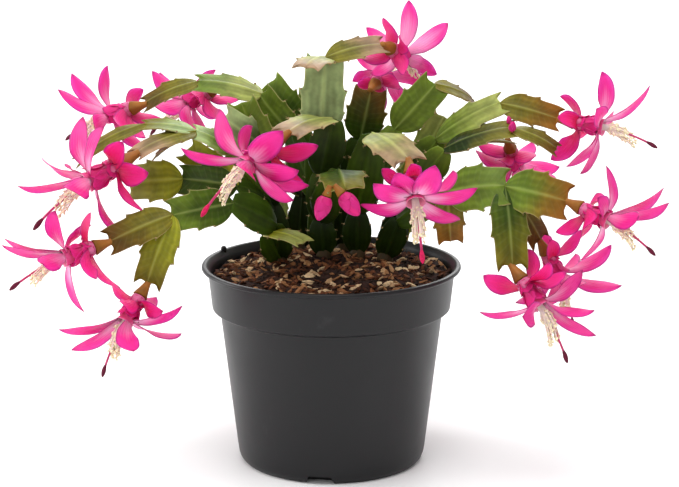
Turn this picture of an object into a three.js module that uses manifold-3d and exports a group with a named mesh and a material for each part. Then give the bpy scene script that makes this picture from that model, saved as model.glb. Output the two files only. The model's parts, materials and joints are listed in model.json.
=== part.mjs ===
// A potted holiday cactus: arching chains of flat toothed stem segments with drooping pink blooms, in a nursery pot.
// Millimetres, +Z up, origin at the middle of the pot's underside, -Y towards the side that shows the most blooms.
import * as THREE from 'three';
import { mergeVertices } from 'three/addons/utils/BufferGeometryUtils.js';
import Module from 'manifold-3d';

const wasm = await Module();
wasm.setup();

// ---------------------------------------------------------------- driving dimensions

const CLEARANCE = 0.3; // between pieces that touch

const POT_HEIGHT = 101;
const POT_RIM_RADIUS = 65;
const POT_FACETS = 28;
const POT_WALL = 1.3;
const POT_FLOOR = 1.6;
const POT_FOOT_RADIUS = 44.8;
const POT_BODY_TOP = { radius: 55.8, z: 76 };
const POT_COLLAR = { lowRadius: 60, lowZ: 79.5, topRadius: 61.8, topZ: 97.8 };
const POT_LIP_DROP = 1.2;

const NOTCH = { count: 4, turn: -7, width: 13.6, height: 4.2, inner: 37.5, roof: 1.3, wall: 1.3 };

const SOIL_LEVEL = 95.5;
const SOIL_MOUND = { rise: 6, radius: 60 }; // the mix is heaped in the middle
const SOIL_RELIEF = 1.3;
const SOIL_RINGS = 4;
const SOIL_FACETS = 24;
const SOIL_SEED = 11;

const ROOT_DEPTH = 9; // how far a crown goes into the soil
const STUB_RISE = 3; // how far its woody foot stands out of it
const ROOT_RADIUS = 4.2;

const SEGMENT_THICKNESS = 3;
const SEGMENT_ARCH = 0.07; // rise of the middle of a segment, as a share of its length
const SEGMENT_SUNK = 1.6; // how far a segment starts inside the one that carries it

// A bloom's measures at size 1, along its own axis from the tip of the segment that bears it.
const OVARY = { length: 7.6, neck: 1.5, mouth: 3.7, sides: 6 };
const TUBE = { start: OVARY.length + CLEARANCE, mouth: 23.5, floor: 13, sides: 7 };
const TUBE_RADII = [3.7, 4, 3, 4.6];
const TUBE_STATIONS = [TUBE.start, 11, 16.5, TUBE.mouth];
const THROAT_RADII = [2.2, 3.2];
const THROAT_STATIONS = [TUBE.floor, TUBE.mouth + 1];
// Petals leave the tube in two whorls: [how far along, half-width share] outlines.
const OUTER_WHORL = { root: 9.8, radius: 2.9, width: 10, outline: [[0, 0.3], [0.5, 1], [1, 0]] };
const INNER_WHORL = { root: 20.6, radius: 3.3, width: 11.5, outline: [[0, 0.24], [0.36, 0.9], [0.7, 0.92], [1, 0]] };
const ROOT_ADVANCE = 3; // a petal that points straight ahead is rooted this much further up the tube
const PETAL_BOW = 0.1; // how far a petal bows out of the line from root to tip, as a share of its length
const PETAL_CUP = 0.14; // rise of a petal's edges, as a share of half its width
const ROLL_BY = 0.4; // share of a petal's length by which it has rolled to its full turn
const PETAL_KEEL = 0.7; // its midrib stands out of its back this far
const STYLE = { radius: 0.62, root: 12, bend: 30, length: 35, sides: 3 };
const STIGMA = { length: 5.5, radius: 1.35 };
const SLEEVE = { radius: 1.9, bore: 1.15, end: 27, stamens: 5 };
const STAMEN = { reach: 40, shorter: 1.7, spread: 4.1, thickness: 0.85 };
const DROOP = 0.0065; // sag of a bloom's far end per mm squared, past DROOP_START
const DROOP_START = 22;

// ---------------------------------------------------------------- the plant

// Crowns: where each one leaves the soil, [x, y], and its segments, each as
// [its name, the one that carries it, its tip [x, y, z], its width, the way its flat face looks, form].
const CROWNS = {
  stem_centre: {
    root: [-6, 24],
    segments: [
      ['a1', 'root', [-5, 18, 130], 14, [0, -1, 0], 'plain'],
      ['a2', 'a1', [-5, 11, 166], 19, [0.2, -1, 0], 'plain'],
      ['a3', 'a2', [-3, 0, 205], 22, [0, -1, 0.1], 'toothed'],
      ['a4', 'a3', [-12, -25, 203], 17, [-0.1, -0.6, 1], 'toothed'],
      ['a5', 'a3', [26, 6, 210], 16, [-0.3, -0.6, 0.8], 'toothed'],
      ['q3', 'a1', [-20, 14, 166], 16, [-0.4, -1, 0], 'plain'],
      ['q4', 'q3', [-36, 12, 185], 17, [-0.6, -0.9, 0.5], 'toothed'],
      ['q5', 'q4', [-67, 9, 191], 18, [0, -0.55, 1], 'toothed'],
      ['q6', 'q5', [-93, 8, 180], 14, [-0.2, -0.6, 1], 'toothed'],
      ['q7', 'q4', [-56, 32, 186], 13, [0, -0.3, 1], 'toothed'],
    ],
  },
  stem_back_left: {
    root: [-17, 37],
    segments: [
      ['u1', 'root', [-15, 32, 130], 14, [0, -1, 0], 'plain'],
      ['u2', 'u1', [-15, 33, 165], 17, [0, -1, 0.2], 'plain'],
      ['u3', 'u2', [-33, 35, 187], 19, [-0.3, -1, 0.4], 'toothed'],
      ['u4', 'u2', [-4, 44, 190], 17, [0.2, -1, 0.5], 'toothed'],
      ['u5', 'u1', [-28, 47, 143], 16, [-0.4, 0.4, 1], 'toothed'],
      ['u6', 'u5', [-30, 78, 122], 16, [-0.1, 0.3, 1], 'toothed'],
      ['u7', 'u6', [-30, 98, 81], 15, [-0.3, 1, 0.4], 'toothed'],
    ],
  },
  stem_left: {
    root: [-28, 18],
    segments: [
      ['r1', 'root', [-30, 10, 130], 15, [0.2, -1, 0], 'plain'],
      ['r2', 'r1', [-50, -8, 160], 17, [-0.3, -0.8, 0.6], 'plain'],
      ['r3', 'r2', [-67, -12, 170], 15, [-0.3, -0.5, 1], 'toothed'],
      ['r4', 'r3', [-92, -12, 173], 13, [0, -0.3, 1], 'toothed'],
      ['r5', 'r4', [-124, -18, 156], 14, [-0.4, -0.4, 1], 'toothed'],
      ['p2', 'r3', [-94, -31, 162], 14, [-0.2, -0.5, 1], 'toothed'],
      ['p3', 'r3', [-87, -3, 156], 13, [-0.3, -0.2, 1], 'toothed'],
      ['t3', 'r1', [-32, 0, 160], 15, [0, -1, 0.2], 'plain'],
      ['t4', 't3', [-44, -7, 184], 18, [-0.4, -0.9, 0.4], 'toothed'],
      ['t5', 't3', [-53, -15, 177], 17, [-0.3, -0.9, 0.5], 'toothed'],
      ['o2', 'r1', [-47, -14, 143], 16, [0, -0.8, 0.7], 'plain'],
      ['o3', 'o2', [-74, -16, 147], 18, [0, -1, 0.5], 'toothed'],
      ['o4', 'o3', [-99, -20, 146], 20, [0, -1, 0.4], 'toothed'],
      ['o5', 'o2', [-72, 0, 159], 16, [0, -1, 0.6], 'toothed'],
    ],
  },
  stem_front_left: {
    root: [-26, 5],
    segments: [
      ['n1', 'root', [-28, -12, 124], 15, [0, -1, 0.2], 'plain'],
      ['n2', 'n1', [-48, -33, 139], 19, [0, -1, 0.6], 'plain'],
      ['n3', 'n2', [-77, -41, 134], 19, [0, -1, 0.3], 'toothed'],
      ['n4', 'n3', [-106, -50, 123], 16, [0, -1, 0.5], 'toothed'],
      ['n5', 'n3', [-88, -48, 102], 17, [-0.2, -1, 0.2], 'toothed'],
      ['x1', 'root', [-33, -11, 119], 14, [0.2, -1, 0.2], 'plain'],
      ['x2', 'x1', [-13, -32, 118.6], 13, [0.3, -0.6, 1], 'toothed'],
    ],
  },
  stem_front: {
    root: [-4, 11],
    segments: [
      ['k1', 'root', [-5, 6, 123], 15, [0, -1, 0], 'plain'],
      ['k2', 'k1', [-5, 0, 148], 16, [0, -1, 0], 'plain'],
      ['k3', 'k2', [1, -13, 177], 19, [0, -1, 0.1], 'plain'],
      ['k4', 'k3', [-21, -43, 174], 20, [-0.2, -0.5, 1], 'toothed'],
      ['m2', 'k1', [4, -33, 155], 16, [0, -1, 0.4], 'plain'],
      ['m3', 'm2', [7, -58, 150], 22, [0, -0.7, 1], 'toothed'],
    ],
  },
  stem_front_right: {
    root: [13, 16],
    segments: [
      ['j1', 'root', [13, 8, 127], 15, [0, -1, 0], 'plain'],
      ['j2', 'j1', [20, -15, 170], 19, [0, -1, 0.1], 'plain'],
      ['j3', 'j2', [37, -45, 161], 22, [0.1, -0.5, 1], 'toothed'],
      ['c2', 'j1', [23, 5, 148], 15, [0, -1, 0.2], 'plain'],
      ['c3', 'c2', [32, 8, 169], 15, [0, -1, 0.2], 'plain'],
      ['c4', 'c3', [52, 6, 191], 19, [0.1, -1, 0.2], 'toothed'],
      ['c5', 'c4', [72, 21, 179], 13, [0.2, -0.5, 1], 'toothed'],
    ],
  },
  stem_right: {
    root: [30, 25],
    segments: [
      ['d1', 'root', [34, 16, 126], 15, [0, -1, 0], 'plain'],
      ['d2', 'd1', [42, 8, 147], 15, [0, -1, 0.2], 'plain'],
      ['d3', 'd2', [53, 2, 164], 17, [0.2, -0.9, 0.4], 'plain'],
      ['d4', 'd3', [84, -4, 183], 16, [-0.3, -0.8, 0.8], 'toothed'],
      ['d5', 'd4', [112, -8, 175], 15, [0.2, -1, 0.5], 'toothed'],
      ['d6', 'd2', [57, 18, 173], 16, [0, -1, 0.3], 'toothed'],
      ['e2', 'd1', [45, -4, 144], 15, [0.3, -1, 0.2], 'plain'],
      ['e3', 'e2', [56, -11, 161], 16, [0.2, -1, 0.4], 'plain'],
      ['e4', 'e3', [89, -15, 172], 16, [0, -0.5, 1], 'toothed'],
      ['e5', 'e4', [110, -19, 162], 13, [0.3, -0.5, 1], 'toothed'],
      ['e6', 'e3', [88, 5, 162], 15, [0, 0, 1], 'toothed'],
    ],
  },
  stem_right_front: {
    root: [27, 11],
    segments: [
      ['v1', 'root', [34, 0, 124], 15, [0, -1, 0.1], 'plain'],
      ['v2', 'v1', [57, -27, 143], 18, [0, -1, 0.5], 'plain'],
      ['v3', 'v2', [85, -34, 147], 24, [0, -1, 0.7], 'toothed'],
      ['v4', 'v3', [114, -38, 140], 22, [0.1, -1, 0.4], 'toothed'],
      ['v5', 'v3', [87, -47, 110], 18, [0.1, -1, 0.2], 'toothed'],
      ['v6', 'v3', [102, -26, 118], 15, [0.5, -1, 0.2], 'toothed'],
      ['w1', 'v2', [59, -14, 115], 15, [0, -1, 0.1], 'toothed'],
    ],
  },
  stem_back: {
    root: [6, 35],
    segments: [
      ['b1', 'root', [4, 29, 129], 15, [0, -1, 0], 'plain'],
      ['b2', 'b1', [15, 26, 160], 20, [0, -1, 0], 'plain'],
      ['b3', 'b2', [20, 27, 185], 20, [0, -1, 0], 'toothed'],
      ['z1', 'b1', [13, 48, 146], 17, [0, 0.5, 1], 'toothed'],
      ['z2', 'z1', [3, 80, 143], 18, [0, 0.1, 1], 'toothed'],
      ['z3', 'z2', [0, 107, 124], 16, [0, 0.6, 1], 'toothed'],
      ['z4', 'z1', [26, 74, 132], 16, [0.3, 0.3, 1], 'toothed'],
    ],
  },
  stem_back_right: {
    root: [31, 39],
    segments: [
      ['s1', 'root', [36, 42, 124], 14, [0.4, 0.6, 0.4], 'plain'],
      ['s2', 's1', [46, 50, 146], 16, [0.4, 0.4, 1], 'toothed'],
      ['s3', 's2', [38, 82, 121], 15, [0.3, 0.4, 1], 'toothed'],
      ['s4', 's3', [34, 99, 80], 14, [0.3, 1, 0.4], 'toothed'],
    ],
  },
};

// A bloom that nothing singles out: petals as [degrees round the tube, degrees away from its axis, length].
const EVEN_BLOOM = {
  inner: [
    [25, 88, 25, 12], [77, 80, 26, 12], [128, 84, 25, 12], [180, 92, 24, 12], [232, 96, 24, 12], [283, 92, 24, 12],
    [334, 84, 25, 12],
  ],
  outer: [[50, 118, 18, 12], [128, 112, 18, 12], [206, 120, 17, 12], [257, 116, 18, 12], [308, 112, 17, 12]],
};

// Blooms: the segment that bears each one, the way it points, its size and its petals. Seen along the way it points,
// degrees run from its left-hand side, 90 being the top.
const BLOOMS = {
  bloom_1: {
    bearer: 'a5', pointing: [0.45, 0.8, -0.35], size: 0.95,
    inner: [[90, 95, 26, -5], [145, 95, 28, -10], [30, 100, 22, 55], [200, 60, 18, 55], [330, 80, 18, 25]],
    outer: [[165, 145, 14, 25], [320, 135, 15, 15], [225, 105, 15, 25], [75, 125, 15, -35]],
  },
  bloom_2: {
    bearer: 'q6', pointing: [-0.87, 0.36, -0.31], size: 0.95,
    inner: [
      [45, 65, 30, 20], [85, 62, 28, -10], [112, 92, 24, 0], [350, 95, 21, -10], [200, 95, 22, -25],
      [245, 110, 22, -5],
    ],
    outer: [[160, 90, 20, 10], [220, 130, 18, -25], [295, 120, 18, 20], [335, 105, 19, 20]],
  },
  bloom_3: {
    bearer: 'p2', pointing: [-0.85, -0.27, -0.46], size: 1.15,
    inner: [
      [120, 30, 30, 5], [140, 60, 24, -15], [170, 80, 20, -10], [115, 115, 24, 40], [60, 125, 24, -10],
      [15, 65, 24, 25], [270, 90, 24, 15],
    ],
    outer: [[35, 110, 18, 20], [345, 120, 18, -20], [300, 90, 20, 25], [205, 110, 18, -40]],
  },
  bloom_4: {
    bearer: 'n4', pointing: [-0.85, -0.45, -0.22], size: 1,
    inner: [
      [140, 45, 30, -15], [118, 33, 30, 5], [70, 82, 25, 25], [160, 145, 24, 25], [25, 45, 24, 25], [275, 90, 25, 5],
    ],
    outer: [[335, 72, 19, 50], [295, 110, 21, -5], [185, 105, 19, 35], [90, 110, 15, 0]],
  },
  bloom_5: {
    bearer: 'n5', pointing: [-0.45, -0.55, -0.7], size: 0.95,
    inner: [
      [145, 52, 32, 0], [170, 40, 30, -5], [15, 45, 24, 40], [330, 135, 26, 0], [295, 112, 28, 20],
      [225, 95, 22, 10],
    ],
    outer: [[150, 100, 14, 10], [250, 130, 18, 10], [60, 55, 18, -20], [5, 80, 19, -35]],
  },
  bloom_6: {
    bearer: 'q7', pointing: [-0.7, 0.3, -0.4], size: 0.95,
    inner: [
      [105, 60, 24, -20], [10, 70, 22, 25], [155, 112, 25, 45], [325, 105, 24, 15], [60, 75, 24, -5],
      [205, 90, 24, -15], [260, 90, 22, -5],
    ],
    outer: [[355, 105, 18, 10], [300, 112, 18, 30], [210, 118, 18, -25]],
  },
  bloom_7: {
    bearer: 'k4', pointing: [-0.73, -0.46, -0.5], size: 1.1,
    inner: [
      [143, 107, 28, 30], [130, 52, 28, 5], [172, 133, 25, 5], [30, 115, 25, 30], [352, 105, 25, 5],
      [310, 120, 24, -10], [325, 90, 24, -10], [15, 60, 18, 10],
    ],
    outer: [[330, 142, 19, -20], [290, 98, 20, -25], [230, 112, 18, 25]],
  },
  bloom_8: {
    bearer: 'j3', pointing: [0.11, -0.75, -0.65], size: 1.05,
    inner: [
      [215, 110, 25, 0], [143, 82, 23, 0], [118, 86, 20, 5], [80, 82, 25, -10], [350, 136, 25, 35],
      [18, 85, 25, 5], [322, 90, 25, 10],
    ],
    outer: [[100, 76, 13, 30], [185, 125, 12, 5], [268, 112, 15, -5]],
  },
  bloom_9: {
    bearer: 'd5', pointing: [0.92, -0.36, -0.1], size: 0.95,
    inner: [
      [88, 95, 25, -35], [60, 53, 32, 5], [145, 85, 18, -25], [272, 125, 25, 20], [232, 95, 25, -5], [5, 88, 22, 5],
    ],
    outer: [[45, 140, 18, 5], [255, 120, 21, 70], [318, 110, 18, 50], [165, 118, 15, 30]],
  },
  bloom_10: {
    bearer: 'e6', pointing: [0.2, 0.6, -0.6], size: 0.9,
    inner: [
      [340, 140, 24, 10], [155, 55, 26, -5], [100, 60, 24, -10], [200, 85, 24, -20], [250, 88, 24, 45],
      [30, 82, 22, 20], [300, 100, 22, 15],
    ],
    outer: [[275, 138, 18, -15], [0, 110, 16, 15], [205, 115, 16, -10]],
  },
  bloom_11: {
    bearer: 'v4', pointing: [0.8, -0.5, -0.3], size: 0.95,
    inner: [
      [60, 120, 25, -10], [45, 60, 32, 0], [60, 42, 32, -10], [125, 38, 24, 10], [275, 105, 25, 0],
      [140, 90, 20, 15],
    ],
    outer: [[185, 60, 18, -35], [300, 95, 19, 10], [10, 105, 18, 40], [235, 118, 16, 20]],
  },
  bloom_12: {
    bearer: 'v6', pointing: [0.45, 0.1, -0.85], size: 0.92,
    inner: [
      [85, 85, 31, 15], [115, 56, 33, 10], [40, 82, 25, -5], [170, 85, 24, -10], [215, 80, 24, 10],
      [270, 85, 24, -10], [325, 82, 24, -10],
    ],
    outer: [[100, 105, 20, 20], [170, 140, 17, 10], [20, 112, 18, -35]],
  },
  bloom_13: {
    bearer: 'v5', pointing: [0.54, -0.45, -0.71], size: 1,
    inner: [
      [230, 118, 25, 0], [50, 47, 25, 35], [30, 32, 30, 0], [165, 75, 25, 50], [35, 95, 25, -30],
      [330, 120, 18, -45],
    ],
    outer: [[215, 140, 18, 40], [15, 143, 19, 15], [100, 85, 19, -25], [60, 68, 18, 50]],
  },
  bloom_14: {
    bearer: 'b3', pointing: [0.35, 0.9, 0.25], size: 0.9,
    inner: [[186, 92, 24, 20], [240, 98, 24, 15], [290, 94, 24, 35], [345, 88, 17, -30], [30, 80, 17, -15]],
    outer: [[265, 118, 18, 15], [350, 143, 12, -25], [170, 122, 17, 5]],
  },
  bloom_15: { bearer: 'z3', pointing: [0, 0.75, -0.65], size: 1, ...EVEN_BLOOM },
  bloom_16: { bearer: 'u7', pointing: [-0.1, 0.3, -0.95], size: 1, ...EVEN_BLOOM },
  bloom_17: { bearer: 's4', pointing: [0.1, 0.3, -0.95], size: 1, ...EVEN_BLOOM },
};

// A closed bud and the green cup under it, as radii at stations along a bud of full length; the buds are scaled.
const BUD_CUP = { radii: [1.6, 2.9], stations: [-3.5, 3.7] };
const BUD = { radii: [3.1, 5, 4.5], stations: [3.7 + CLEARANCE * 2, 9, 14], tip: 20, sides: 8 };

// Closed buds: [name, segment, step along the tip's edge, the way it points, length].
const BUD_SET_BACK = 1.6; // from the tip of the segment
const BUDS = [
  ['bud_1', 'm3', 8, [-0.35, -0.2, -1], 15],
  ['bud_2', 'm3', 3.5, [0.62, -0.3, -0.7], 16],
  ['bud_3', 'e4', -3, [-0.2, 0.1, 1], 5],
  ['bud_4', 'e4', 3, [0.1, -0.5, 1], 7],
];

// ---------------------------------------------------------------- materials

const finish = (color, roughness) => new THREE.MeshStandardMaterial({ color, roughness, metalness: 0 });
const MATERIALS = {
  pot: finish(0x3c3c3f, 0.55),
  soil: finish(0x3a2418, 0.95),
  stem: finish(0x5f7d3a, 0.5),
  petal: finish(0xee3f97, 0.5),
  stamen: finish(0xf2dfb8, 0.6),
};

// ---------------------------------------------------------------- solids

// Draws repeatable numbers in 0..1.
function seeded(seed) {
  const multiplier = 16807;
  const modulus = 2 ** 31 - 1;
  let state = seed;
  return () => {
    state = (state * multiplier) % modulus;
    return state / modulus;
  };
}

// A three.js geometry as a solid that can be joined and cut.
function solidOf(geometry) {
  const bare = new THREE.BufferGeometry();
  const source = geometry.index ? geometry.toNonIndexed() : geometry;
  bare.setAttribute('position', source.getAttribute('position'));
  const merged = mergeVertices(bare, 1e-4);
  const vertProperties = new Float32Array(merged.getAttribute('position').array);
  const triVerts = new Uint32Array(merged.index.array);
  return new wasm.Manifold(new wasm.Mesh({ numProp: 3, vertProperties, triVerts }));
}

// A solid as a named mesh.
function meshOf(solid, name, material) {
  const { numProp, numVert, vertProperties, triVerts } = solid.getMesh();
  const positions = new Float32Array(numVert * 3);
  for (let i = 0; i < numVert; i += 1) {
    positions.set(vertProperties.subarray(i * numProp, i * numProp + 3), i * 3);
  }
  const geometry = new THREE.BufferGeometry();
  geometry.setAttribute('position', new THREE.BufferAttribute(positions, 3));
  geometry.setIndex(new THREE.BufferAttribute(new Uint32Array(triVerts), 1));
  geometry.computeVertexNormals();
  const mesh = new THREE.Mesh(geometry, material);
  mesh.name = name;
  return mesh;
}

// The body of a solid with the most volume: loose scraps left by a cut are dropped.
function largest(solid) {
  return solid.decompose().reduce((best, body) => (body.volume() > best.volume() ? body : best));
}

// Triangles over points as a closed solid, whichever way round they were listed.
function solidOfTriangles(points, triangles) {
  const geometry = new THREE.BufferGeometry();
  geometry.setFromPoints(points);
  geometry.setIndex(triangles.flat());
  const solid = solidOf(geometry);
  if (solid.volume() > 0) {
    return solid;
  }
  geometry.setIndex(triangles.map(([a, b, c]) => [a, c, b]).flat());
  return solidOf(geometry);
}

// A closed skin over rings of equally many points; a last ring of one point is a tip.
function loft(rings) {
  const points = rings.flat();
  const triangles = [];
  const sides = rings[0].length;
  for (let i = 1; i < sides - 1; i += 1) {
    triangles.push([0, i + 1, i]);
  }
  rings.slice(1).forEach((ring, r) => {
    const below = r * sides;
    const above = below + sides;
    for (let i = 0; i < sides; i += 1) {
      const next = (i + 1) % sides;
      if (ring.length === 1) {
        triangles.push([below + i, below + next, above]);
      } else {
        triangles.push([below + i, below + next, above + next], [below + i, above + next, above + i]);
      }
    }
    if (r === rings.length - 2 && ring.length > 1) {
      for (let i = 1; i < sides - 1; i += 1) {
        triangles.push([above, above + i, above + i + 1]);
      }
    }
  });
  return solidOfTriangles(points, triangles);
}

// Rings of points round the local Z axis, at matching radii and heights.
function roundRings(radii, heights, sides) {
  return heights.map((z, k) => Array.from({ length: sides }, (_, i) => {
    const angle = (i * 2 * Math.PI) / sides;
    return new THREE.Vector3(radii[k] * Math.cos(angle), radii[k] * Math.sin(angle), z);
  }));
}

const vector = (list) => new THREE.Vector3(...list);

// ---------------------------------------------------------------- pot and soil

// A body of revolution from [radius, z] points that run from the axis round to the axis.
function turned(profile, facets) {
  const points = profile.map(([r, z]) => new THREE.Vector2(r, z));
  const geometry = new THREE.LatheGeometry(points, facets);
  geometry.rotateX(Math.PI / 2);
  const solid = solidOf(geometry);
  return solid.volume() > 0 ? solid : solidOf(flipped(geometry));
}

// The same triangles facing the other way.
function flipped(geometry) {
  const loose = geometry.toNonIndexed();
  const position = loose.getAttribute('position').array;
  for (let i = 0; i < position.length; i += 9) {
    for (let k = 3; k < 6; k += 1) {
      [position[i + k], position[i + k + 3]] = [position[i + k + 3], position[i + k]];
    }
  }
  return loose;
}

function boxSolid(width, depth, height, [x, y, z], turnDegrees) {
  const geometry = new THREE.BoxGeometry(width, depth, height);
  geometry.translate(x, y, z);
  geometry.rotateZ(THREE.MathUtils.degToRad(turnDegrees));
  return solidOf(geometry);
}

function makePot() {
  const { radius: bodyRadius, z: bodyZ } = POT_BODY_TOP;
  const { lowRadius, lowZ, topRadius, topZ } = POT_COLLAR;
  const outside = [
    [0, 0],
    [POT_FOOT_RADIUS, 0],
    [POT_FOOT_RADIUS + 2, 2.6],
    [POT_FOOT_RADIUS + 2.9, 8],
    [bodyRadius, bodyZ],
    [lowRadius, lowZ],
    [topRadius, topZ],
    [POT_RIM_RADIUS, topZ + POT_LIP_DROP],
    [POT_RIM_RADIUS, POT_HEIGHT - 0.6],
    [POT_RIM_RADIUS - 0.8, POT_HEIGHT],
  ];
  const inside = [
    [POT_RIM_RADIUS - 2.2, POT_HEIGHT],
    [topRadius - POT_WALL, POT_HEIGHT - 2.8],
    [lowRadius - POT_WALL, lowZ + 0.6],
    [bodyRadius - POT_WALL, bodyZ + 0.6],
    [POT_FOOT_RADIUS + 2.9 - POT_WALL, 8],
    [POT_FOOT_RADIUS + 0.3, POT_FLOOR],
    [0, POT_FLOOR],
  ];
  let pot = turned([...outside, ...inside], POT_FACETS);
  for (let i = 0; i < NOTCH.count; i += 1) {
    const turn = NOTCH.turn + (i * 360) / NOTCH.count;
    const reach = POT_FOOT_RADIUS + 1.8 - NOTCH.inner;
    const middle = -(NOTCH.inner + reach / 2);
    const pocketHeight = NOTCH.height + NOTCH.roof;
    const pocketWidth = NOTCH.width + 2 * NOTCH.wall;
    const pocket = boxSolid(pocketWidth, reach, pocketHeight - 0.2, [0, middle, pocketHeight / 2 + 0.1], turn);
    const cutDepth = reach + 6;
    const cutMiddle = -(NOTCH.inner + NOTCH.wall + cutDepth / 2);
    const notch = boxSolid(NOTCH.width, cutDepth, NOTCH.height * 2, [0, cutMiddle, 0], turn);
    const drain = boxSolid(4, 4, 8, [0, middle + 0.5, pocketHeight], turn);
    pot = pot.add(pocket).subtract(notch).subtract(drain);
  }
  return pot;
}

// How high the potting mix stands at a place.
function soilTop(x, y) {
  const share = Math.hypot(x, y) / SOIL_MOUND.radius;
  return SOIL_LEVEL + SOIL_MOUND.rise * Math.max(0, 1 - share * share);
}

function makeSoil() {
  const random = seeded(SOIL_SEED);
  const { radius: bodyRadius, z: bodyZ } = POT_BODY_TOP;
  const { lowRadius, lowZ, topRadius } = POT_COLLAR;
  const gap = POT_WALL + CLEARANCE + 0.25;
  const stepZ = NOTCH.height + NOTCH.roof + 0.5;
  const stepRadius = NOTCH.inner - 1.2;
  const edge = topRadius - gap - 0.5;
  const rings = [[stepRadius, POT_FLOOR + CLEARANCE], [stepRadius, stepZ], [POT_FOOT_RADIUS - 0.9, stepZ]];
  rings.push([bodyRadius - gap, bodyZ + 0.6], [lowRadius - gap, lowZ + 1.2], [edge, SOIL_LEVEL - 1.5]);
  const facets = SOIL_FACETS;
  const at = (radius, z, i) => {
    const angle = (i * 2 * Math.PI) / facets;
    return new THREE.Vector3(radius * Math.cos(angle), radius * Math.sin(angle), z);
  };
  const skin = rings.map(([radius, z]) => Array.from({ length: facets }, (_, i) => at(radius, z, i)));
  for (let k = 1; k <= SOIL_RINGS; k += 1) {
    const radius = edge * (1 - k / (SOIL_RINGS + 0.6));
    const ring = Array.from({ length: facets }, (_, i) => {
      const lump = (random() * 2 - 1) * SOIL_RELIEF;
      return at(radius, soilTop(radius, 0) + lump, i);
    });
    skin.push(ring);
  }
  skin.push([new THREE.Vector3(0, 0, soilTop(0, 0))]);
  return loft(skin);
}

// ---------------------------------------------------------------- stems

// Half outlines of a segment: [how far along, how far out as a share of the half width].
const OUTLINES = {
  toothed: [[0, 0.16], [0.1, 0.6], [0.3, 0.94], [0.58, 1.06], [0.61, 0.86], [0.84, 0.78], [1.04, 0.78], [0.97, 0.4]],
  plain: [[0, 0.26], [0.18, 0.76], [0.5, 1], [0.96, 0.5]],
};
const RIB = [[0, 0.75], [0.4, 1], [1, 0.6]]; // [how far along, thickness share]

// The frame of a segment or bloom: its own long axis, its sideways axis and the way its face looks.
function frameOf(start, end, face) {
  const along = end.clone().sub(start);
  const length = along.length();
  along.normalize();
  const normal = face.clone().addScaledVector(along, -face.dot(along)).normalize();
  const side = new THREE.Vector3().crossVectors(along, normal);
  return { along, normal, side, length };
}

function makeSegment(start, tip, width, face, form) {
  const { along, normal, side, length } = frameOf(start, tip, face);
  const rise = SEGMENT_ARCH * length;
  const place = (t, s, h) => {
    const arch = rise * 4 * t * (1 - t);
    return start.clone().addScaledVector(along, t * length).addScaledVector(side, (s * width) / 2)
      .addScaledVector(normal, h + arch);
  };
  const outline = OUTLINES[form];
  const points = [];
  const triangles = [];
  const index = (t, s, h) => points.push(place(t, s, h)) - 1;
  const edges = [-1, 1].map((sign) => outline.map(([t, s]) => index(t, sign * s, 0)));
  const ribs = [-1, 1].map((face_) => RIB.map(([t, h]) => index(t, 0, (face_ * h * SEGMENT_THICKNESS) / 2)));
  edges.forEach((edge, e) => {
    ribs.forEach((rib, r) => {
      const add = (a, b, c) => triangles.push(e === r ? [a, b, c] : [a, c, b]);
      let i = 0;
      for (let k = 0; k < rib.length - 1; k += 1) {
        const last = k === rib.length - 2;
        while (i < edge.length - 1 && (last || outline[i + 1][0] <= RIB[k + 1][0])) {
          add(rib[k], edge[i], edge[i + 1]);
          i += 1;
        }
        add(rib[k], edge[i], rib[k + 1]);
      }
    });
  });
  const end = outline.length - 1;
  const tipRib = RIB.length - 1;
  triangles.push([ribs[0][0], edges[1][0], edges[0][0]], [ribs[1][0], edges[0][0], edges[1][0]]);
  triangles.push([ribs[0][tipRib], edges[0][end], edges[1][end]], [ribs[1][tipRib], edges[1][end], edges[0][end]]);
  return solidOfTriangles(points, triangles);
}

// Every segment's start and tip, by name, as the bloom list reads them.
const SEGMENTS = {};
for (const [crown, { root, segments }] of Object.entries(CROWNS)) {
  for (const [name, carrier, tip, width, face, form] of segments) {
    const end = vector(tip);
    let start = new THREE.Vector3(root[0], root[1], soilTop(root[0], root[1]) + STUB_RISE / 2);
    if (carrier !== 'root') {
      const carried = SEGMENTS[carrier];
      start = carried.end.clone().addScaledVector(carried.frame.along, -SEGMENT_SUNK);
    }
    const frame = frameOf(start, end, vector(face));
    SEGMENTS[name] = { crown, start, end, width, face: vector(face), form, frame };
  }
}

// The placing matrix of a bloom or bud: local Z along its axis, local Y upwards.
function placing(origin, pointing, size) {
  const z = vector(pointing).normalize();
  const up = new THREE.Vector3(0, 0, 1);
  const y = up.addScaledVector(z, -up.dot(z));
  if (y.length() < 0.2) {
    y.set(0, 1, 0).addScaledVector(z, -z.y);
  }
  y.normalize();
  const x = new THREE.Vector3().crossVectors(y, z);
  const matrix = new THREE.Matrix4().makeBasis(x, y, z);
  matrix.scale(new THREE.Vector3(size, size, size));
  return matrix.setPosition(origin);
}

const moved = (rings, matrix) => rings.map((ring) => ring.map((p) => p.clone().applyMatrix4(matrix)));

function makeOvary(matrix) {
  const { length, neck, mouth, sides } = OVARY;
  const rings = roundRings([neck, (neck + mouth) / 2 + 0.3, mouth], [-2, 2.6, length], sides);
  return loft(moved(rings, matrix));
}

function budMatrix([, segment, step, pointing, length]) {
  const { end, frame } = SEGMENTS[segment];
  const origin = end.clone().addScaledVector(frame.side, step).addScaledVector(frame.along, -BUD_SET_BACK);
  return placing(origin, pointing, length / BUD.tip);
}

// The green cup under a bud.
function makeBudCup(matrix) {
  return loft(moved(roundRings(BUD_CUP.radii, BUD_CUP.stations, OVARY.sides), matrix));
}

function makeBud(matrix) {
  const rings = roundRings(BUD.radii, BUD.stations, BUD.sides);
  rings.push([new THREE.Vector3(0, 0, BUD.tip)]);
  return loft(moved(rings, matrix));
}

// ---------------------------------------------------------------- blooms

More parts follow.
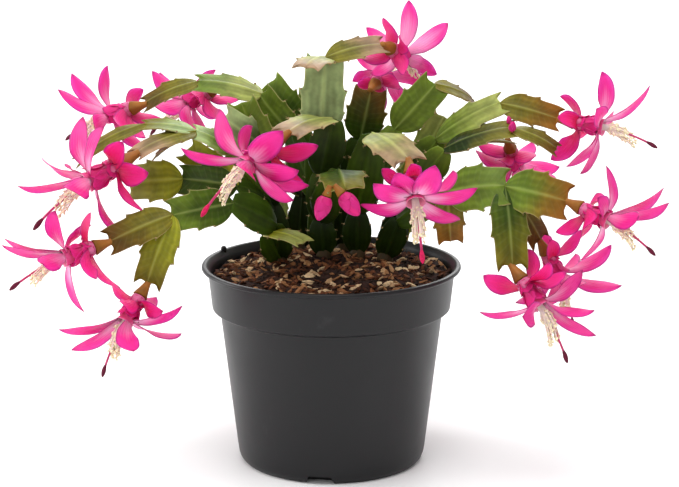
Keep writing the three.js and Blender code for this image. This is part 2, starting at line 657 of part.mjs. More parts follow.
// The sag that every part of a bloom shares, in its local frame, where down is -Y.
function droop(p) {
  const past = Math.max(0, p.z - DROOP_START);
  p.y -= DROOP * past * past;
  return p;
}

// One petal as a thin channelled blade that leaves the tube and curls back.
function makePetal({ root, radius, width, outline }, [azimuth, lean, length, roll], matrix) {
  const angle = THREE.MathUtils.degToRad(azimuth);
  const tilt = THREE.MathUtils.degToRad(lean);
  const start = root + ROOT_ADVANCE * Math.max(0, 1 - lean / 90);
  const rings = outline.map(([t, share]) => {
    const bow = PETAL_BOW * length * 4 * t * (1 - t);
    const out = radius + t * length * Math.sin(tilt) - bow * Math.cos(tilt);
    const z = start + t * length * Math.cos(tilt) + bow * Math.sin(tilt);
    const local = tilt + 8 * PETAL_BOW * (t - 0.5);
    const half = (share * width) / 2;
    const turn = THREE.MathUtils.degToRad(roll) * Math.min(1, t / ROLL_BY) ** 1.5;
    const at = (across, height) => {
      const lift = across * Math.sin(turn) + height * Math.cos(turn);
      const sideways = across * Math.cos(turn) - height * Math.sin(turn);
      const r = out - Math.cos(local) * lift;
      const x = r * Math.cos(angle) - sideways * Math.sin(angle);
      const y = r * Math.sin(angle) + sideways * Math.cos(angle);
      return new THREE.Vector3(x, y, z + Math.sin(local) * lift);
    };
    return half === 0 ? [at(0, 0)] : [at(-half, PETAL_CUP * half), at(0, -PETAL_KEEL), at(half, PETAL_CUP * half)];
  });
  return loft(moved(rings.map((ring) => ring.map(droop)), matrix));
}

function makeFlower({ inner, outer }, matrix) {
  const sag = (rings) => moved(rings.map((ring) => ring.map(droop)), matrix);
  let flower = loft(sag(roundRings(TUBE_RADII, TUBE_STATIONS, TUBE.sides)));
  for (const petal of outer) {
    flower = flower.add(makePetal(OUTER_WHORL, petal, matrix));
  }
  for (const petal of inner) {
    flower = flower.add(makePetal(INNER_WHORL, petal, matrix));
  }
  flower = flower.subtract(loft(sag(roundRings(THROAT_RADII, THROAT_STATIONS, TUBE.sides))));
  const { radius, root, length, sides } = STYLE;
  const end = root + length;
  const heights = [root, STYLE.bend, end, end + STIGMA.length * 0.5, end + STIGMA.length];
  const radii = [radius, radius, radius, STIGMA.radius, STIGMA.radius * 0.5];
  return largest(flower.add(loft(sag(roundRings(radii, heights, sides)))));
}

// A sleeve round the style whose end carries on as one stamen from each of its sides.
function makeStamens(matrix) {
  const { radius, bore, end, stamens: count } = SLEEVE;
  const start = TUBE.floor + CLEARANCE * 1.5;
  const [outerStart, innerStart, outerEnd, innerEnd] = [[radius, start], [bore, start], [radius, end], [bore, end]]
    .map(([r, z]) => roundRings([r], [z], count)[0]);
  const points = [...outerStart, ...innerStart, ...outerEnd, ...innerEnd];
  const triangles = [];
  const quad = (a, b, c, d) => triangles.push([a, b, c], [a, c, d]);
  for (let i = 0; i < count; i += 1) {
    const next = (i + 1) % count;
    const corner = (ring, k) => ring * count + k;
    quad(corner(0, i), corner(0, next), corner(2, next), corner(2, i));
    quad(corner(1, next), corner(1, i), corner(3, i), corner(3, next));
    quad(corner(1, i), corner(1, next), corner(0, next), corner(0, i));
    const angle = ((i + 0.5) * 2 * Math.PI) / count;
    const reach = STAMEN.reach - STAMEN.shorter * ((i * 3) % 4);
    const half = STAMEN.thickness / 2;
    const tip = [[half, -half], [half, half], [-half, half], [-half, -half]].map(([out, across]) => {
      const r = STAMEN.spread + out;
      const x = r * Math.cos(angle) - across * Math.sin(angle);
      const y = r * Math.sin(angle) + across * Math.cos(angle);
      return points.push(new THREE.Vector3(x, y, reach)) - 1;
    });
    const foot = [corner(2, i), corner(2, next), corner(3, next), corner(3, i)];
    for (let k = 0; k < 4; k += 1) {
      const after = (k + 1) % 4;
      quad(foot[k], foot[after], tip[after], tip[k]);
    }
    quad(...tip);
  }
  return solidOfTriangles(points.map((p) => droop(p).applyMatrix4(matrix)), triangles);
}

// ---------------------------------------------------------------- assembly

const plant = new THREE.Group();
plant.name = 'potted_cactus';

let soil = makeSoil();
for (const [name, { root }] of Object.entries(CROWNS)) {
  const top = soilTop(root[0], root[1]) + STUB_RISE;
  const bottom = SOIL_LEVEL - ROOT_DEPTH;
  const shift = new THREE.Matrix4().makeTranslation(root[0], root[1], 0);
  const stubRings = roundRings([ROOT_RADIUS, ROOT_RADIUS], [bottom, top], 6);
  let stem = loft(moved(stubRings, shift));
  const holeRadius = ROOT_RADIUS + CLEARANCE * 1.3;
  const holeRings = roundRings([holeRadius, holeRadius], [bottom - CLEARANCE, top + 20], 6);
  soil = soil.subtract(loft(moved(holeRings, shift)));
  for (const segment of Object.values(SEGMENTS).filter((s) => s.crown === name)) {
    stem = stem.add(makeSegment(segment.start, segment.end, segment.width, segment.face, segment.form));
  }
  for (const { bearer, pointing, size } of Object.values(BLOOMS)) {
    if (SEGMENTS[bearer].crown === name) {
      stem = stem.add(makeOvary(placing(SEGMENTS[bearer].end, pointing, size)));
    }
  }
  for (const bud of BUDS) {
    if (SEGMENTS[bud[1]].crown === name) {
      stem = stem.add(makeBudCup(budMatrix(bud)));
    }
  }
  plant.add(meshOf(largest(stem), name, MATERIALS.stem));
}

plant.add(meshOf(makePot(), 'pot', MATERIALS.pot));
plant.add(meshOf(largest(soil), 'soil', MATERIALS.soil));

for (const [name, bloom] of Object.entries(BLOOMS)) {
  const matrix = placing(SEGMENTS[bloom.bearer].end, bloom.pointing, bloom.size);
  plant.add(meshOf(makeFlower(bloom, matrix), `${name}_petals`, MATERIALS.petal));
  plant.add(meshOf(makeStamens(matrix), `${name}_stamens`, MATERIALS.stamen));
}
for (const bud of BUDS) {
  plant.add(meshOf(makeBud(budMatrix(bud)), bud[0], MATERIALS.petal));
}

export default plant;
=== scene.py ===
"""A potted holiday cactus in flower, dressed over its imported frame.

Places along the plant are in millimetres, as in the part, and MM turns them into metres.
"""
import json
import math
import random

import bpy
import numpy as np
from mathutils import Matrix, Vector

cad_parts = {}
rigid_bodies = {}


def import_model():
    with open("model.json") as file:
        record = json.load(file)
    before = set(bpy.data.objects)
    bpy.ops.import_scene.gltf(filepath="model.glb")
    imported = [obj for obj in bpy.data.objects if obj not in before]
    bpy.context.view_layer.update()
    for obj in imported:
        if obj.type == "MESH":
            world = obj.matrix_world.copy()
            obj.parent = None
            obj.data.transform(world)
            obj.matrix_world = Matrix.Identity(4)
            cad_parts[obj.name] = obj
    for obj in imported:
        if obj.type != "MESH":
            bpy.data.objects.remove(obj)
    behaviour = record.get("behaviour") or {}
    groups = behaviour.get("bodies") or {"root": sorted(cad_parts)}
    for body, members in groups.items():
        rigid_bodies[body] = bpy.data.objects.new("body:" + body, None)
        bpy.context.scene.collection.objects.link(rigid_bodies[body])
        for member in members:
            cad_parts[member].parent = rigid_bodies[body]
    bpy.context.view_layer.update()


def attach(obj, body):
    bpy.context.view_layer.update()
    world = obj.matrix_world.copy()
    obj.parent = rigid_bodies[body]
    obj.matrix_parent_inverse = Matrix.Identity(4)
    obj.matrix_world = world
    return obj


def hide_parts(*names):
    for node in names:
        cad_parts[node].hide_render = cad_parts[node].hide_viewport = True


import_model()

MM = 0.001
GOLDEN_ANGLE = 2.39996

# ------------------------------------------------------------------ driving dimensions

SOIL_LEVEL = 95.5
SOIL_MOUND = {"rise": 6, "radius": 60}
STUB_RISE = 3
ROOT_DEPTH = 9
ROOT_RADIUS = 4.2

SEGMENT_ARCH = 0.07  # rise of the middle of a segment, as a share of its length
SEGMENT_SUNK = 1.6  # how far a segment starts inside the one that carries it
RIB_THICKNESS = 2.9
PLAIN_THICKER = 1.12  # how much thicker the old plain segments are
RIB_END = 0.98  # how far along a segment its rib runs

# Cups under a bloom and a bud, as (radius, place along the axis).
BLOOM_CUP = [(1.5, -2), (1.9, 0.6), (2.7, 3.4), (3.5, 6), (3.8, 7.2), (3.5, 7.6)]
BUD_CUP = [(1.6, -3.5), (2.0, -1), (2.7, 2), (3, 3.3), (2.8, 3.9)]
# Scales pressed against the tube: (root, radius, width, lean, length, how crimson).
SCALE_RINGS = [(6.0, 3.5, 6.5, 12, 6.5, 1.0), (10.0, 3.3, 8.0, 16, 9.5, 0.85)]
OUTER_WHORL = {"root": 9.8, "radius": 2.9, "width": 10}
INNER_WHORL = {"root": 20.6, "radius": 3.3, "width": 11.5}
ROOT_ADVANCE = 3
PETAL_BOW = 0.1
PETAL_THICKNESS = 0.55
USUAL_ROLL = 12
SOFT_MARGIN = 0.8  # keeps the dark margin off the scales of the tube and the buds
STYLE = {"radius": 0.6, "root": 12, "length": 35}
STIGMA = {"length": 5.5, "radius": 1.1}
FILAMENTS = 84
DROOP = 0.0065
DROOP_START = 22
BUD_SET_BACK = 1.6
BUD_LENGTH = 20  # the length that a bud's own measures are for

POT_RIM = 101
POT_SIDES = 160
# The pot's section from the middle of its foot, up the outside and down the inside, in spans.
POT_PROFILE = [
    [(0, 0), (43.6, 0)],
    [(43.6, 0), (44.8, 0.35), (46.4, 2.2), (47.2, 4.6), (47.7, 8)],
    [(47.7, 8), (55.8, 76)],
    [(55.8, 76), (56.3, 77.6), (58.2, 78.6), (59.7, 79.2), (60, 80.4)],
    [(60, 80.4), (61.8, 97.4)],
    [(61.8, 97.4), (62.2, 98.3), (64, 98.7), (64.9, 99.3), (65, 100), (64.6, 100.8), (63.8, 101)],
    [(63.8, 101), (63.1, 101), (62.4, 100.6), (61.2, 99.2), (60.5, 98)],
    [(60.5, 98), (58.7, 80.3), (54.6, 76.4), (46.4, 8)],
    [(46.4, 8), (45.8, 3.4), (44, 1.6), (40, 1.6)],
    [(40, 1.6), (0, 1.6)],
]
NOTCH = {"count": 4, "turn": -7, "width": 13.6, "height": 4.2, "inner": 37.5, "outer": 46.6, "roof": 1.3, "wall": 1.3,
         "flare": 1.2, "taper": 0.7, "rounding": 0.9, "past": 6}
DRAIN = (4, 4, 8)
POCKET_LIFT = 0.1  # keeps a pocket's box off the floor
NUB = {"turn": -118, "radius": 63}
SOIL_WALL = [(36.3, 1.9), (36.3, 6), (43.9, 6), (54.0, 76.2), (58.2, 80.8), (59.6, 93.0)]
SOIL_EDGE = 60.8
SOIL_ROLL = 1.2  # how far the top of the mix falls at the wall
SOIL_RINGS = 40
MULCH_RADIUS = 57.5 * MM
MULCH_FLOOR = 92.5 * MM

FLOOR_HALF = 8
# Lights: name, place, aim, size, power.
LIGHTS = [
    ("top_light", (0.0, -0.2, 1.5), (0, 0, 0.12), 1.2, 15),
    ("front_light", (-0.9, -1.5, 0.9), (0, 0, 0.14), 1.2, 4),
    ("left_light", (-1.5, 0.3, 0.5), (0, 0, 0.1), 0.8, 13),
    ("back_light", (0.5, 1.5, 1.0), (0, 0, 0.16), 1.2, 6),
    ("backdrop_light", (0.0, 2.9, 1.8), (0, 2.9, 0), 2.0, 60),
]

# ------------------------------------------------------------------ colours

# Colours as they are seen on the plant, as web hex codes; a few of them carry painted shade and painted highlight.
TONES = {
    # painted shade: a near-black green for segments deep in the plant's own shadow
    "shade": "1c2c05",
    "dark": "34490a",
    "green": "5e7220",
    # painted highlight over a blue-green: segments that catch the top light, painted paler
    "frost": "9aae74",
    # painted highlight: a yellow-green painted paler for segments that face the top light
    "pale": "92994f",
    "lime": "8a8c20",
    "olive": "6c661a",
    "bronze": "5d4214",
    "orange": "86591d",
    "rose": "9a7d62",
    "woody": "4f4128",
    "cup": "a46a30",
}

# ------------------------------------------------------------------ the plant

# Crowns: where each leaves the soil, and its segments as
# (name, carrier, tip, width, the way its flat face looks, form, colour at its foot, colour at its tip).
CROWNS = {
    "stem_centre": ((-6, 24), [
        ("a1", "root", (-5, 18, 130), 14, (0, -1, 0), "plain", "shade", "dark"),
        ("a2", "a1", (-5, 11, 166), 19, (0.2, -1, 0), "plain", "dark", "dark"),
        ("a3", "a2", (-3, 0, 205), 22, (0, -1, 0.1), "toothed", "frost", "frost"),
        ("a4", "a3", (-12, -25, 203), 17, (-0.1, -0.6, 1), "toothed", "pale", "rose"),
        ("a5", "a3", (26, 6, 210), 16, (-0.3, -0.6, 0.8), "toothed", "olive", "rose"),
        ("q3", "a1", (-20, 14, 166), 16, (-0.4, -1, 0), "plain", "dark", "dark"),
        ("q4", "q3", (-36, 12, 185), 17, (-0.6, -0.9, 0.5), "toothed", "green", "green"),
        ("q5", "q4", (-67, 9, 191), 18, (0, -0.55, 1), "toothed", "pale", "green"),
        ("q6", "q5", (-93, 8, 180), 14, (-0.2, -0.6, 1), "toothed", "olive", "bronze"),
        ("q7", "q4", (-56, 32, 186), 13, (0, -0.3, 1), "toothed", "pale", "olive"),
    ]),
    "stem_back_left": ((-17, 37), [
        ("u1", "root", (-15, 32, 130), 14, (0, -1, 0), "plain", "shade", "shade"),
        ("u2", "u1", (-15, 33, 165), 17, (0, -1, 0.2), "plain", "shade", "dark"),
        ("u3", "u2", (-33, 35, 187), 19, (-0.3, -1, 0.4), "toothed", "dark", "green"),
        ("u4", "u2", (-4, 44, 190), 17, (0.2, -1, 0.5), "toothed", "dark", "green"),
        ("u5", "u1", (-28, 47, 143), 16, (-0.4, 0.4, 1), "toothed", "dark", "green"),
        ("u6", "u5", (-30, 78, 122), 16, (-0.1, 0.3, 1), "toothed", "green", "pale"),
        ("u7", "u6", (-30, 98, 81), 15, (-0.3, 1, 0.4), "toothed", "green", "olive"),
    ]),
    "stem_left": ((-28, 18), [
        ("r1", "root", (-30, 10, 130), 15, (0.2, -1, 0), "plain", "shade", "shade"),
        ("r2", "r1", (-50, -8, 160), 17, (-0.3, -0.8, 0.6), "plain", "dark", "green"),
        ("r3", "r2", (-67, -12, 170), 15, (-0.3, -0.5, 1), "toothed", "green", "frost"),
        ("r4", "r3", (-92, -12, 173), 13, (0, -0.3, 1), "toothed", "frost", "olive"),
        ("r5", "r4", (-124, -18, 156), 14, (-0.4, -0.4, 1), "toothed", "olive", "olive"),
        ("p2", "r3", (-94, -31, 162), 14, (-0.2, -0.5, 1), "toothed", "olive", "rose"),
        ("p3", "r3", (-87, -3, 156), 13, (-0.3, -0.2, 1), "toothed", "bronze", "bronze"),
        ("t3", "r1", (-32, 0, 160), 15, (0, -1, 0.2), "plain", "shade", "dark"),
        ("t4", "t3", (-44, -7, 184), 18, (-0.4, -0.9, 0.4), "toothed", "green", "green"),
        ("t5", "t3", (-53, -15, 177), 17, (-0.3, -0.9, 0.5), "toothed", "dark", "frost"),
        ("o2", "r1", (-47, -14, 143), 16, (0, -0.8, 0.7), "plain", "shade", "dark"),
        ("o3", "o2", (-74, -16, 147), 18, (0, -1, 0.5), "toothed", "dark", "dark"),
        ("o4", "o3", (-99, -20, 146), 20, (0, -1, 0.4), "toothed", "lime", "pale"),
        ("o5", "o2", (-72, 0, 159), 16, (0, -1, 0.6), "toothed", "lime", "lime"),
    ]),
    "stem_front_left": ((-26, 5), [
        ("n1", "root", (-28, -12, 124), 15, (0, -1, 0.2), "plain", "shade", "dark"),
        ("n2", "n1", (-48, -33, 139), 19, (0, -1, 0.6), "plain", "dark", "dark"),
        ("n3", "n2", (-77, -41, 134), 19, (0, -1, 0.3), "toothed", "dark", "green"),
        ("n4", "n3", (-106, -50, 123), 16, (0, -1, 0.5), "toothed", "olive", "bronze"),
        ("n5", "n3", (-88, -48, 102), 17, (-0.2, -1, 0.2), "toothed", "lime", "olive"),
        ("x1", "root", (-33, -11, 119), 14, (0.2, -1, 0.2), "plain", "dark", "dark"),
        ("x2", "x1", (-13, -32, 118.6), 13, (0.3, -0.6, 1), "toothed", "lime", "pale"),
    ]),
    "stem_front": ((-4, 11), [
        ("k1", "root", (-5, 6, 123), 15, (0, -1, 0), "plain", "shade", "shade"),
        ("k2", "k1", (-5, 0, 148), 16, (0, -1, 0), "plain", "shade", "dark"),
        ("k3", "k2", (1, -13, 177), 19, (0, -1, 0.1), "plain", "shade", "dark"),
        ("k4", "k3", (-21, -43, 174), 20, (-0.2, -0.5, 1), "toothed", "pale", "rose"),
        ("m2", "k1", (4, -33, 155), 16, (0, -1, 0.4), "plain", "shade", "dark"),
        ("m3", "m2", (7, -58, 150), 22, (0, -0.7, 1), "toothed", "dark", "olive"),
    ]),
    "stem_front_right": ((13, 16), [
        ("j1", "root", (13, 8, 127), 15, (0, -1, 0), "plain", "shade", "shade"),
        ("j2", "j1", (20, -15, 170), 19, (0, -1, 0.1), "plain", "dark", "dark"),
        ("j3", "j2", (37, -45, 161), 22, (0.1, -0.5, 1), "toothed", "pale", "rose"),
        ("c2", "j1", (23, 5, 148), 15, (0, -1, 0.2), "plain", "shade", "dark"),
        ("c3", "c2", (32, 8, 169), 15, (0, -1, 0.2), "plain", "dark", "green"),
        ("c4", "c3", (52, 6, 191), 19, (0.1, -1, 0.2), "toothed", "green", "green"),
        ("c5", "c4", (72, 21, 179), 13, (0.2, -0.5, 1), "toothed", "olive", "bronze"),
    ]),
    "stem_right": ((30, 25), [
        ("d1", "root", (34, 16, 126), 15, (0, -1, 0), "plain", "shade", "shade"),
        ("d2", "d1", (42, 8, 147), 15, (0, -1, 0.2), "plain", "dark", "dark"),
        ("d3", "d2", (53, 2, 164), 17, (0.2, -0.9, 0.4), "plain", "dark", "green"),
        ("d4", "d3", (84, -4, 183), 16, (-0.3, -0.8, 0.8), "toothed", "green", "pale"),
        ("d5", "d4", (112, -8, 175), 15, (0.2, -1, 0.5), "toothed", "olive", "orange"),
        ("d6", "d2", (57, 18, 173), 16, (0, -1, 0.3), "toothed", "green", "pale"),
        ("e2", "d1", (45, -4, 144), 15, (0.3, -1, 0.2), "plain", "dark", "dark"),
        ("e3", "e2", (56, -11, 161), 16, (0.2, -1, 0.4), "plain", "dark", "green"),
        ("e4", "e3", (89, -15, 172), 16, (0, -0.5, 1), "toothed", "shade", "olive"),
        ("e5", "e4", (110, -19, 162), 13, (0.3, -0.5, 1), "toothed", "olive", "bronze"),
        ("e6", "e3", (88, 5, 162), 15, (0, 0, 1), "toothed", "green", "olive"),
    ]),
    "stem_right_front": ((27, 11), [
        ("v1", "root", (34, 0, 124), 15, (0, -1, 0.1), "plain", "shade", "shade"),
        ("v2", "v1", (57, -27, 143), 18, (0, -1, 0.5), "plain", "dark", "green"),
        ("v3", "v2", (85, -34, 147), 24, (0, -1, 0.7), "toothed", "green", "green"),
        ("v4", "v3", (114, -38, 140), 22, (0.1, -1, 0.4), "toothed", "green", "orange"),
        ("v5", "v3", (87, -47, 110), 18, (0.1, -1, 0.2), "toothed", "dark", "olive"),
        ("v6", "v3", (102, -26, 118), 15, (0.5, -1, 0.2), "toothed", "olive", "bronze"),
        ("w1", "v2", (59, -14, 115), 15, (0, -1, 0.1), "toothed", "olive", "orange"),
    ]),
    "stem_back": ((6, 35), [
        ("b1", "root", (4, 29, 129), 15, (0, -1, 0), "plain", "shade", "shade"),
        ("b2", "b1", (15, 26, 160), 20, (0, -1, 0), "plain", "shade", "dark"),
        ("b3", "b2", (20, 27, 185), 20, (0, -1, 0), "toothed", "dark", "bronze"),
        ("z1", "b1", (13, 48, 146), 17, (0, 0.5, 1), "toothed", "dark", "green"),
        ("z2", "z1", (3, 80, 143), 18, (0, 0.1, 1), "toothed", "green", "pale"),
        ("z3", "z2", (0, 107, 124), 16, (0, 0.6, 1), "toothed", "green", "olive"),
        ("z4", "z1", (26, 74, 132), 16, (0.3, 0.3, 1), "toothed", "green", "lime"),
    ]),
    "stem_back_right": ((31, 39), [
        ("s1", "root", (36, 42, 124), 14, (0.4, 0.6, 0.4), "plain", "shade", "dark"),
        ("s2", "s1", (46, 50, 146), 16, (0.4, 0.4, 1), "toothed", "dark", "green"),
        ("s3", "s2", (38, 82, 121), 15, (0.3, 0.4, 1), "toothed", "green", "pale"),
        ("s4", "s3", (34, 99, 80), 14, (0.3, 1, 0.4), "toothed", "green", "olive"),
    ]),
}

# A bloom that nothing singles out: petals as (degrees round the tube, degrees from its axis, length, roll).
EVEN_BLOOM = {
    "inner": [(25, 88, 25), (77, 80, 26), (128, 84, 25), (180, 92, 24), (232, 96, 24), (283, 92, 24), (334, 84, 25)],
    "outer": [(50, 118, 18), (128, 112, 18), (206, 120, 17), (257, 116, 18), (308, 112, 17)],
}

# Blooms: name, bearer, the way it points, size, colour of its stigma, petals.
BLOOMS = [
    ("bloom_1", "a5", (0.45, 0.8, -0.35), 0.95, "pink", {
        "inner": [(90, 95, 26, -5), (145, 95, 28, -10), (30, 100, 22, 55), (200, 60, 18, 55), (330, 80, 18, 25)],
        "outer": [(165, 145, 14, 25), (320, 135, 15, 15), (225, 105, 15, 25), (75, 125, 15, -35)]}),
    ("bloom_2", "q6", (-0.87, 0.36, -0.31), 0.95, "wine", {
        "inner": [(45, 65, 30, 20), (85, 62, 28, -10), (112, 92, 24, 0), (350, 95, 21, -10), (200, 95, 22, -25),
                  (245, 110, 22, -5)],
        "outer": [(160, 90, 20, 10), (220, 130, 18, -25), (295, 120, 18, 20), (335, 105, 19, 20)]}),
    ("bloom_3", "p2", (-0.85, -0.27, -0.46), 1.15, "wine", {
        "inner": [(120, 30, 30, 5), (140, 60, 24, -15), (170, 80, 20, -10), (115, 115, 24, 40), (60, 125, 24, -10),
                  (15, 65, 24, 25), (270, 90, 24, 15)],
        "outer": [(35, 110, 18, 20), (345, 120, 18, -20), (300, 90, 20, 25), (205, 110, 18, -40)]}),
    ("bloom_4", "n4", (-0.85, -0.45, -0.22), 1, "wine", {
        "inner": [(140, 45, 30, -15), (118, 33, 30, 5), (70, 82, 25, 25), (160, 145, 24, 25), (25, 45, 24, 25),
                  (275, 90, 25, 5)],
        "outer": [(335, 72, 19, 50), (295, 110, 21, -5), (185, 105, 19, 35), (90, 110, 15, 0)]}),
    ("bloom_5", "n5", (-0.45, -0.55, -0.7), 0.95, "wine", {
        "inner": [(145, 52, 32, 0), (170, 40, 30, -5), (15, 45, 24, 40), (330, 135, 26, 0), (295, 112, 28, 20),
                  (225, 95, 22, 10)],
        "outer": [(150, 100, 14, 10), (250, 130, 18, 10), (60, 55, 18, -20), (5, 80, 19, -35)]}),
    ("bloom_6", "q7", (-0.7, 0.3, -0.4), 0.95, "wine", {
        "inner": [(105, 60, 24, -20), (10, 70, 22, 25), (155, 112, 25, 45), (325, 105, 24, 15), (60, 75, 24, -5),
                  (205, 90, 24, -15), (260, 90, 22, -5)],
        "outer": [(355, 105, 18, 10), (300, 112, 18, 30), (210, 118, 18, -25)]}),
    ("bloom_7", "k4", (-0.73, -0.46, -0.5), 1.1, "pink", {
        "inner": [(143, 107, 28, 30), (130, 52, 28, 5), (172, 133, 25, 5), (30, 115, 25, 30), (352, 105, 25, 5),
                  (310, 120, 24, -10), (325, 90, 24, -10), (15, 60, 18, 10)],
        "outer": [(330, 142, 19, -20), (290, 98, 20, -25), (230, 112, 18, 25)]}),
    ("bloom_8", "j3", (0.11, -0.75, -0.65), 1.05, "pink", {
        "inner": [(215, 110, 25, 0), (143, 82, 23, 0), (118, 86, 20, 5), (80, 82, 25, -10), (350, 136, 25, 35),
                  (18, 85, 25, 5), (322, 90, 25, 10)],
        "outer": [(100, 76, 13, 30), (185, 125, 12, 5), (268, 112, 15, -5)]}),
    ("bloom_9", "d5", (0.92, -0.36, -0.1), 0.95, "wine", {
        "inner": [(88, 95, 25, -35), (60, 53, 32, 5), (145, 85, 18, -25), (272, 125, 25, 20), (232, 95, 25, -5),
                  (5, 88, 22, 5)],
        "outer": [(45, 140, 18, 5), (255, 120, 21, 70), (318, 110, 18, 50), (165, 118, 15, 30)]}),
    ("bloom_10", "e6", (0.2, 0.6, -0.6), 0.9, "wine", {
        "inner": [(340, 140, 24, 10), (155, 55, 26, -5), (100, 60, 24, -10), (200, 85, 24, -20), (250, 88, 24, 45),
                  (30, 82, 22, 20), (300, 100, 22, 15)],
        "outer": [(275, 138, 18, -15), (0, 110, 16, 15), (205, 115, 16, -10)]}),
    ("bloom_11", "v4", (0.8, -0.5, -0.3), 0.95, "wine", {
        "inner": [(60, 120, 25, -10), (45, 60, 32, 0), (60, 42, 32, -10), (125, 38, 24, 10), (275, 105, 25, 0),
                  (140, 90, 20, 15)],
        "outer": [(185, 60, 18, -35), (300, 95, 19, 10), (10, 105, 18, 40), (235, 118, 16, 20)]}),
    ("bloom_12", "v6", (0.45, 0.1, -0.85), 0.92, "wine", {
        "inner": [(85, 85, 31, 15), (115, 56, 33, 10), (40, 82, 25, -5), (170, 85, 24, -10), (215, 80, 24, 10),
                  (270, 85, 24, -10), (325, 82, 24, -10)],
        "outer": [(100, 105, 20, 20), (170, 140, 17, 10), (20, 112, 18, -35)]}),
    ("bloom_13", "v5", (0.54, -0.45, -0.71), 1, "wine", {
        "inner": [(230, 118, 25, 0), (50, 47, 25, 35), (30, 32, 30, 0), (165, 75, 25, 50), (35, 95, 25, -30),
                  (330, 120, 18, -45)],
        "outer": [(215, 140, 18, 40), (15, 143, 19, 15), (100, 85, 19, -25), (60, 68, 18, 50)]}),
    ("bloom_14", "b3", (0.35, 0.9, 0.25), 0.9, "pink", {
        "inner": [(186, 92, 24, 20), (240, 98, 24, 15), (290, 94, 24, 35), (345, 88, 17, -30), (30, 80, 17, -15)],
        "outer": [(265, 118, 18, 15), (350, 143, 12, -25), (170, 122, 17, 5)]}),
    ("bloom_15", "z3", (0, 0.75, -0.65), 1, "wine", EVEN_BLOOM),
    ("bloom_16", "u7", (-0.1, 0.3, -0.95), 1, "wine", EVEN_BLOOM),
    ("bloom_17", "s4", (0.1, 0.3, -0.95), 1, "wine", EVEN_BLOOM),
]

# Buds: name, segment, step along the tip's edge, the way it points, length.
BUDS = [
    ("bud_1", "m3", 8, (-0.35, -0.2, -1), 15),
    ("bud_2", "m3", 3.5, (0.62, -0.3, -0.7), 16),
    ("bud_3", "e4", -3, (-0.2, 0.1, 1), 5),
    ("bud_4", "e4", 3, (0.1, -0.5, 1), 7),
]

# ------------------------------------------------------------------ meshes


def linked(name, data):
    """A new object in the scene."""
    made = bpy.data.objects.new(name, data)
    bpy.context.scene.collection.objects.link(made)
    return made


class Skin:
    """Closed skins gathered into one mesh, in millimetres, with values per point."""

    def __init__(self):
        self.points, self.faces, self.slots, self.count = [], [], [], 0
        self.values = {}

    def add(self, points, faces, place=None, slot=0, **values):
        """One more closed skin with its faces turned outwards, set on a bloom's axes if it has a place."""
        points = np.asarray(points, float).reshape(-1, 3)
        if place:
            points = put(points, place)
        self.points.append(points)
        self.faces.extend(tuple(int(i) + self.count for i in face) for face in outward(points, faces))
        self.slots.extend([slot] * len(faces))
        for name, value in values.items():
            value = np.asarray(value, float)
            if value.ndim == 0 or (value.ndim == 1 and len(value) != len(points)):
                value = np.tile(value, (len(points), 1)).squeeze()
            self.values.setdefault(name, []).append((self.count, value))
        self.count += len(points)

    def add_blade(self, grids, place=None, **values):
        """A closed blade between its top and bottom grids of points; a value may be a grid too."""
        for name, value in values.items():
            if np.ndim(value) == 2:
                values[name] = np.tile(value.ravel(), 2)
        self.add(*shell(*grids), place, **values)

    def add_lathe(self, profile, sides, lobes=0, depth=0.0, place=None, slot=0, **values):
        """A lathed skin; a value may have one number for each point of the profile and two for the ends."""
        for name, value in values.items():
            if np.size(value) == len(profile) + 2:
                values[name] = np.concatenate([np.repeat(value[:-2], sides), value[-2:]])
        self.add(*lathe(profile, sides, lobes, depth), place, slot, **values)

    def mesh(self, name, materials):
        """A mesh object at the origin, in metres, with its values as point attributes."""
        points = np.concatenate(self.points) * MM
        mesh = bpy.data.meshes.new(name)
        mesh.from_pydata(points.tolist(), [], self.faces)
        for material in materials:
            mesh.materials.append(material)
        mesh.polygons.foreach_set("material_index", self.slots)
        for key, parts in self.values.items():
            colour = parts[0][1].ndim == 2
            whole = np.ones((len(points), 4) if colour else (len(points), 1), np.float32)
            for start, value in parts:
                whole[start:start + len(value), :3] = value.reshape(len(value), -1)
            attribute = mesh.attributes.new(key, "FLOAT_COLOR" if colour else "FLOAT", "POINT")
            attribute.data.foreach_set("color" if colour else "value", whole.ravel())
        mesh.shade_smooth()
        return linked(name, mesh)


def grid_faces(rows, columns, closed=False):
    """Quads over a grid of points; closed joins the last column to the first."""
    faces = []
    for r in range(rows - 1):
        for c in range(columns if closed else columns - 1):
            after = (c + 1) % columns
            faces.append((r * columns + c, r * columns + after, (r + 1) * columns + after, (r + 1) * columns + c))
    return faces


def shell(top, bottom):
    """Points and faces of a closed blade between two grids of points with the same edge order."""
    rows, columns = top.shape[:2]
    size = rows * columns
    faces = grid_faces(rows, columns)
    faces += [tuple(reversed([i + size for i in face])) for face in faces]
    edge = [r * columns for r in range(rows)]
    edge += [(rows - 1) * columns + c for c in range(1, columns)]
    edge += [r * columns + columns - 1 for r in range(rows - 2, -1, -1)]
    edge += list(range(columns - 2, 0, -1))
    for here, after in zip(edge, edge[1:] + edge[:1]):
        faces.append((here, after, after + size, here + size))
    return np.concatenate([top.reshape(-1, 3), bottom.reshape(-1, 3)]), faces


def outward(points, faces):
    """The faces, turned the other way if the closed skin they make is inside out."""
    volume = 0.0
    for face in faces:
        a = points[face[0]]
        for b, c in zip(face[1:-1], face[2:]):
            volume += np.dot(a, np.cross(points[b], points[c]))
    return faces if volume > 0 else [tuple(reversed(face)) for face in faces]


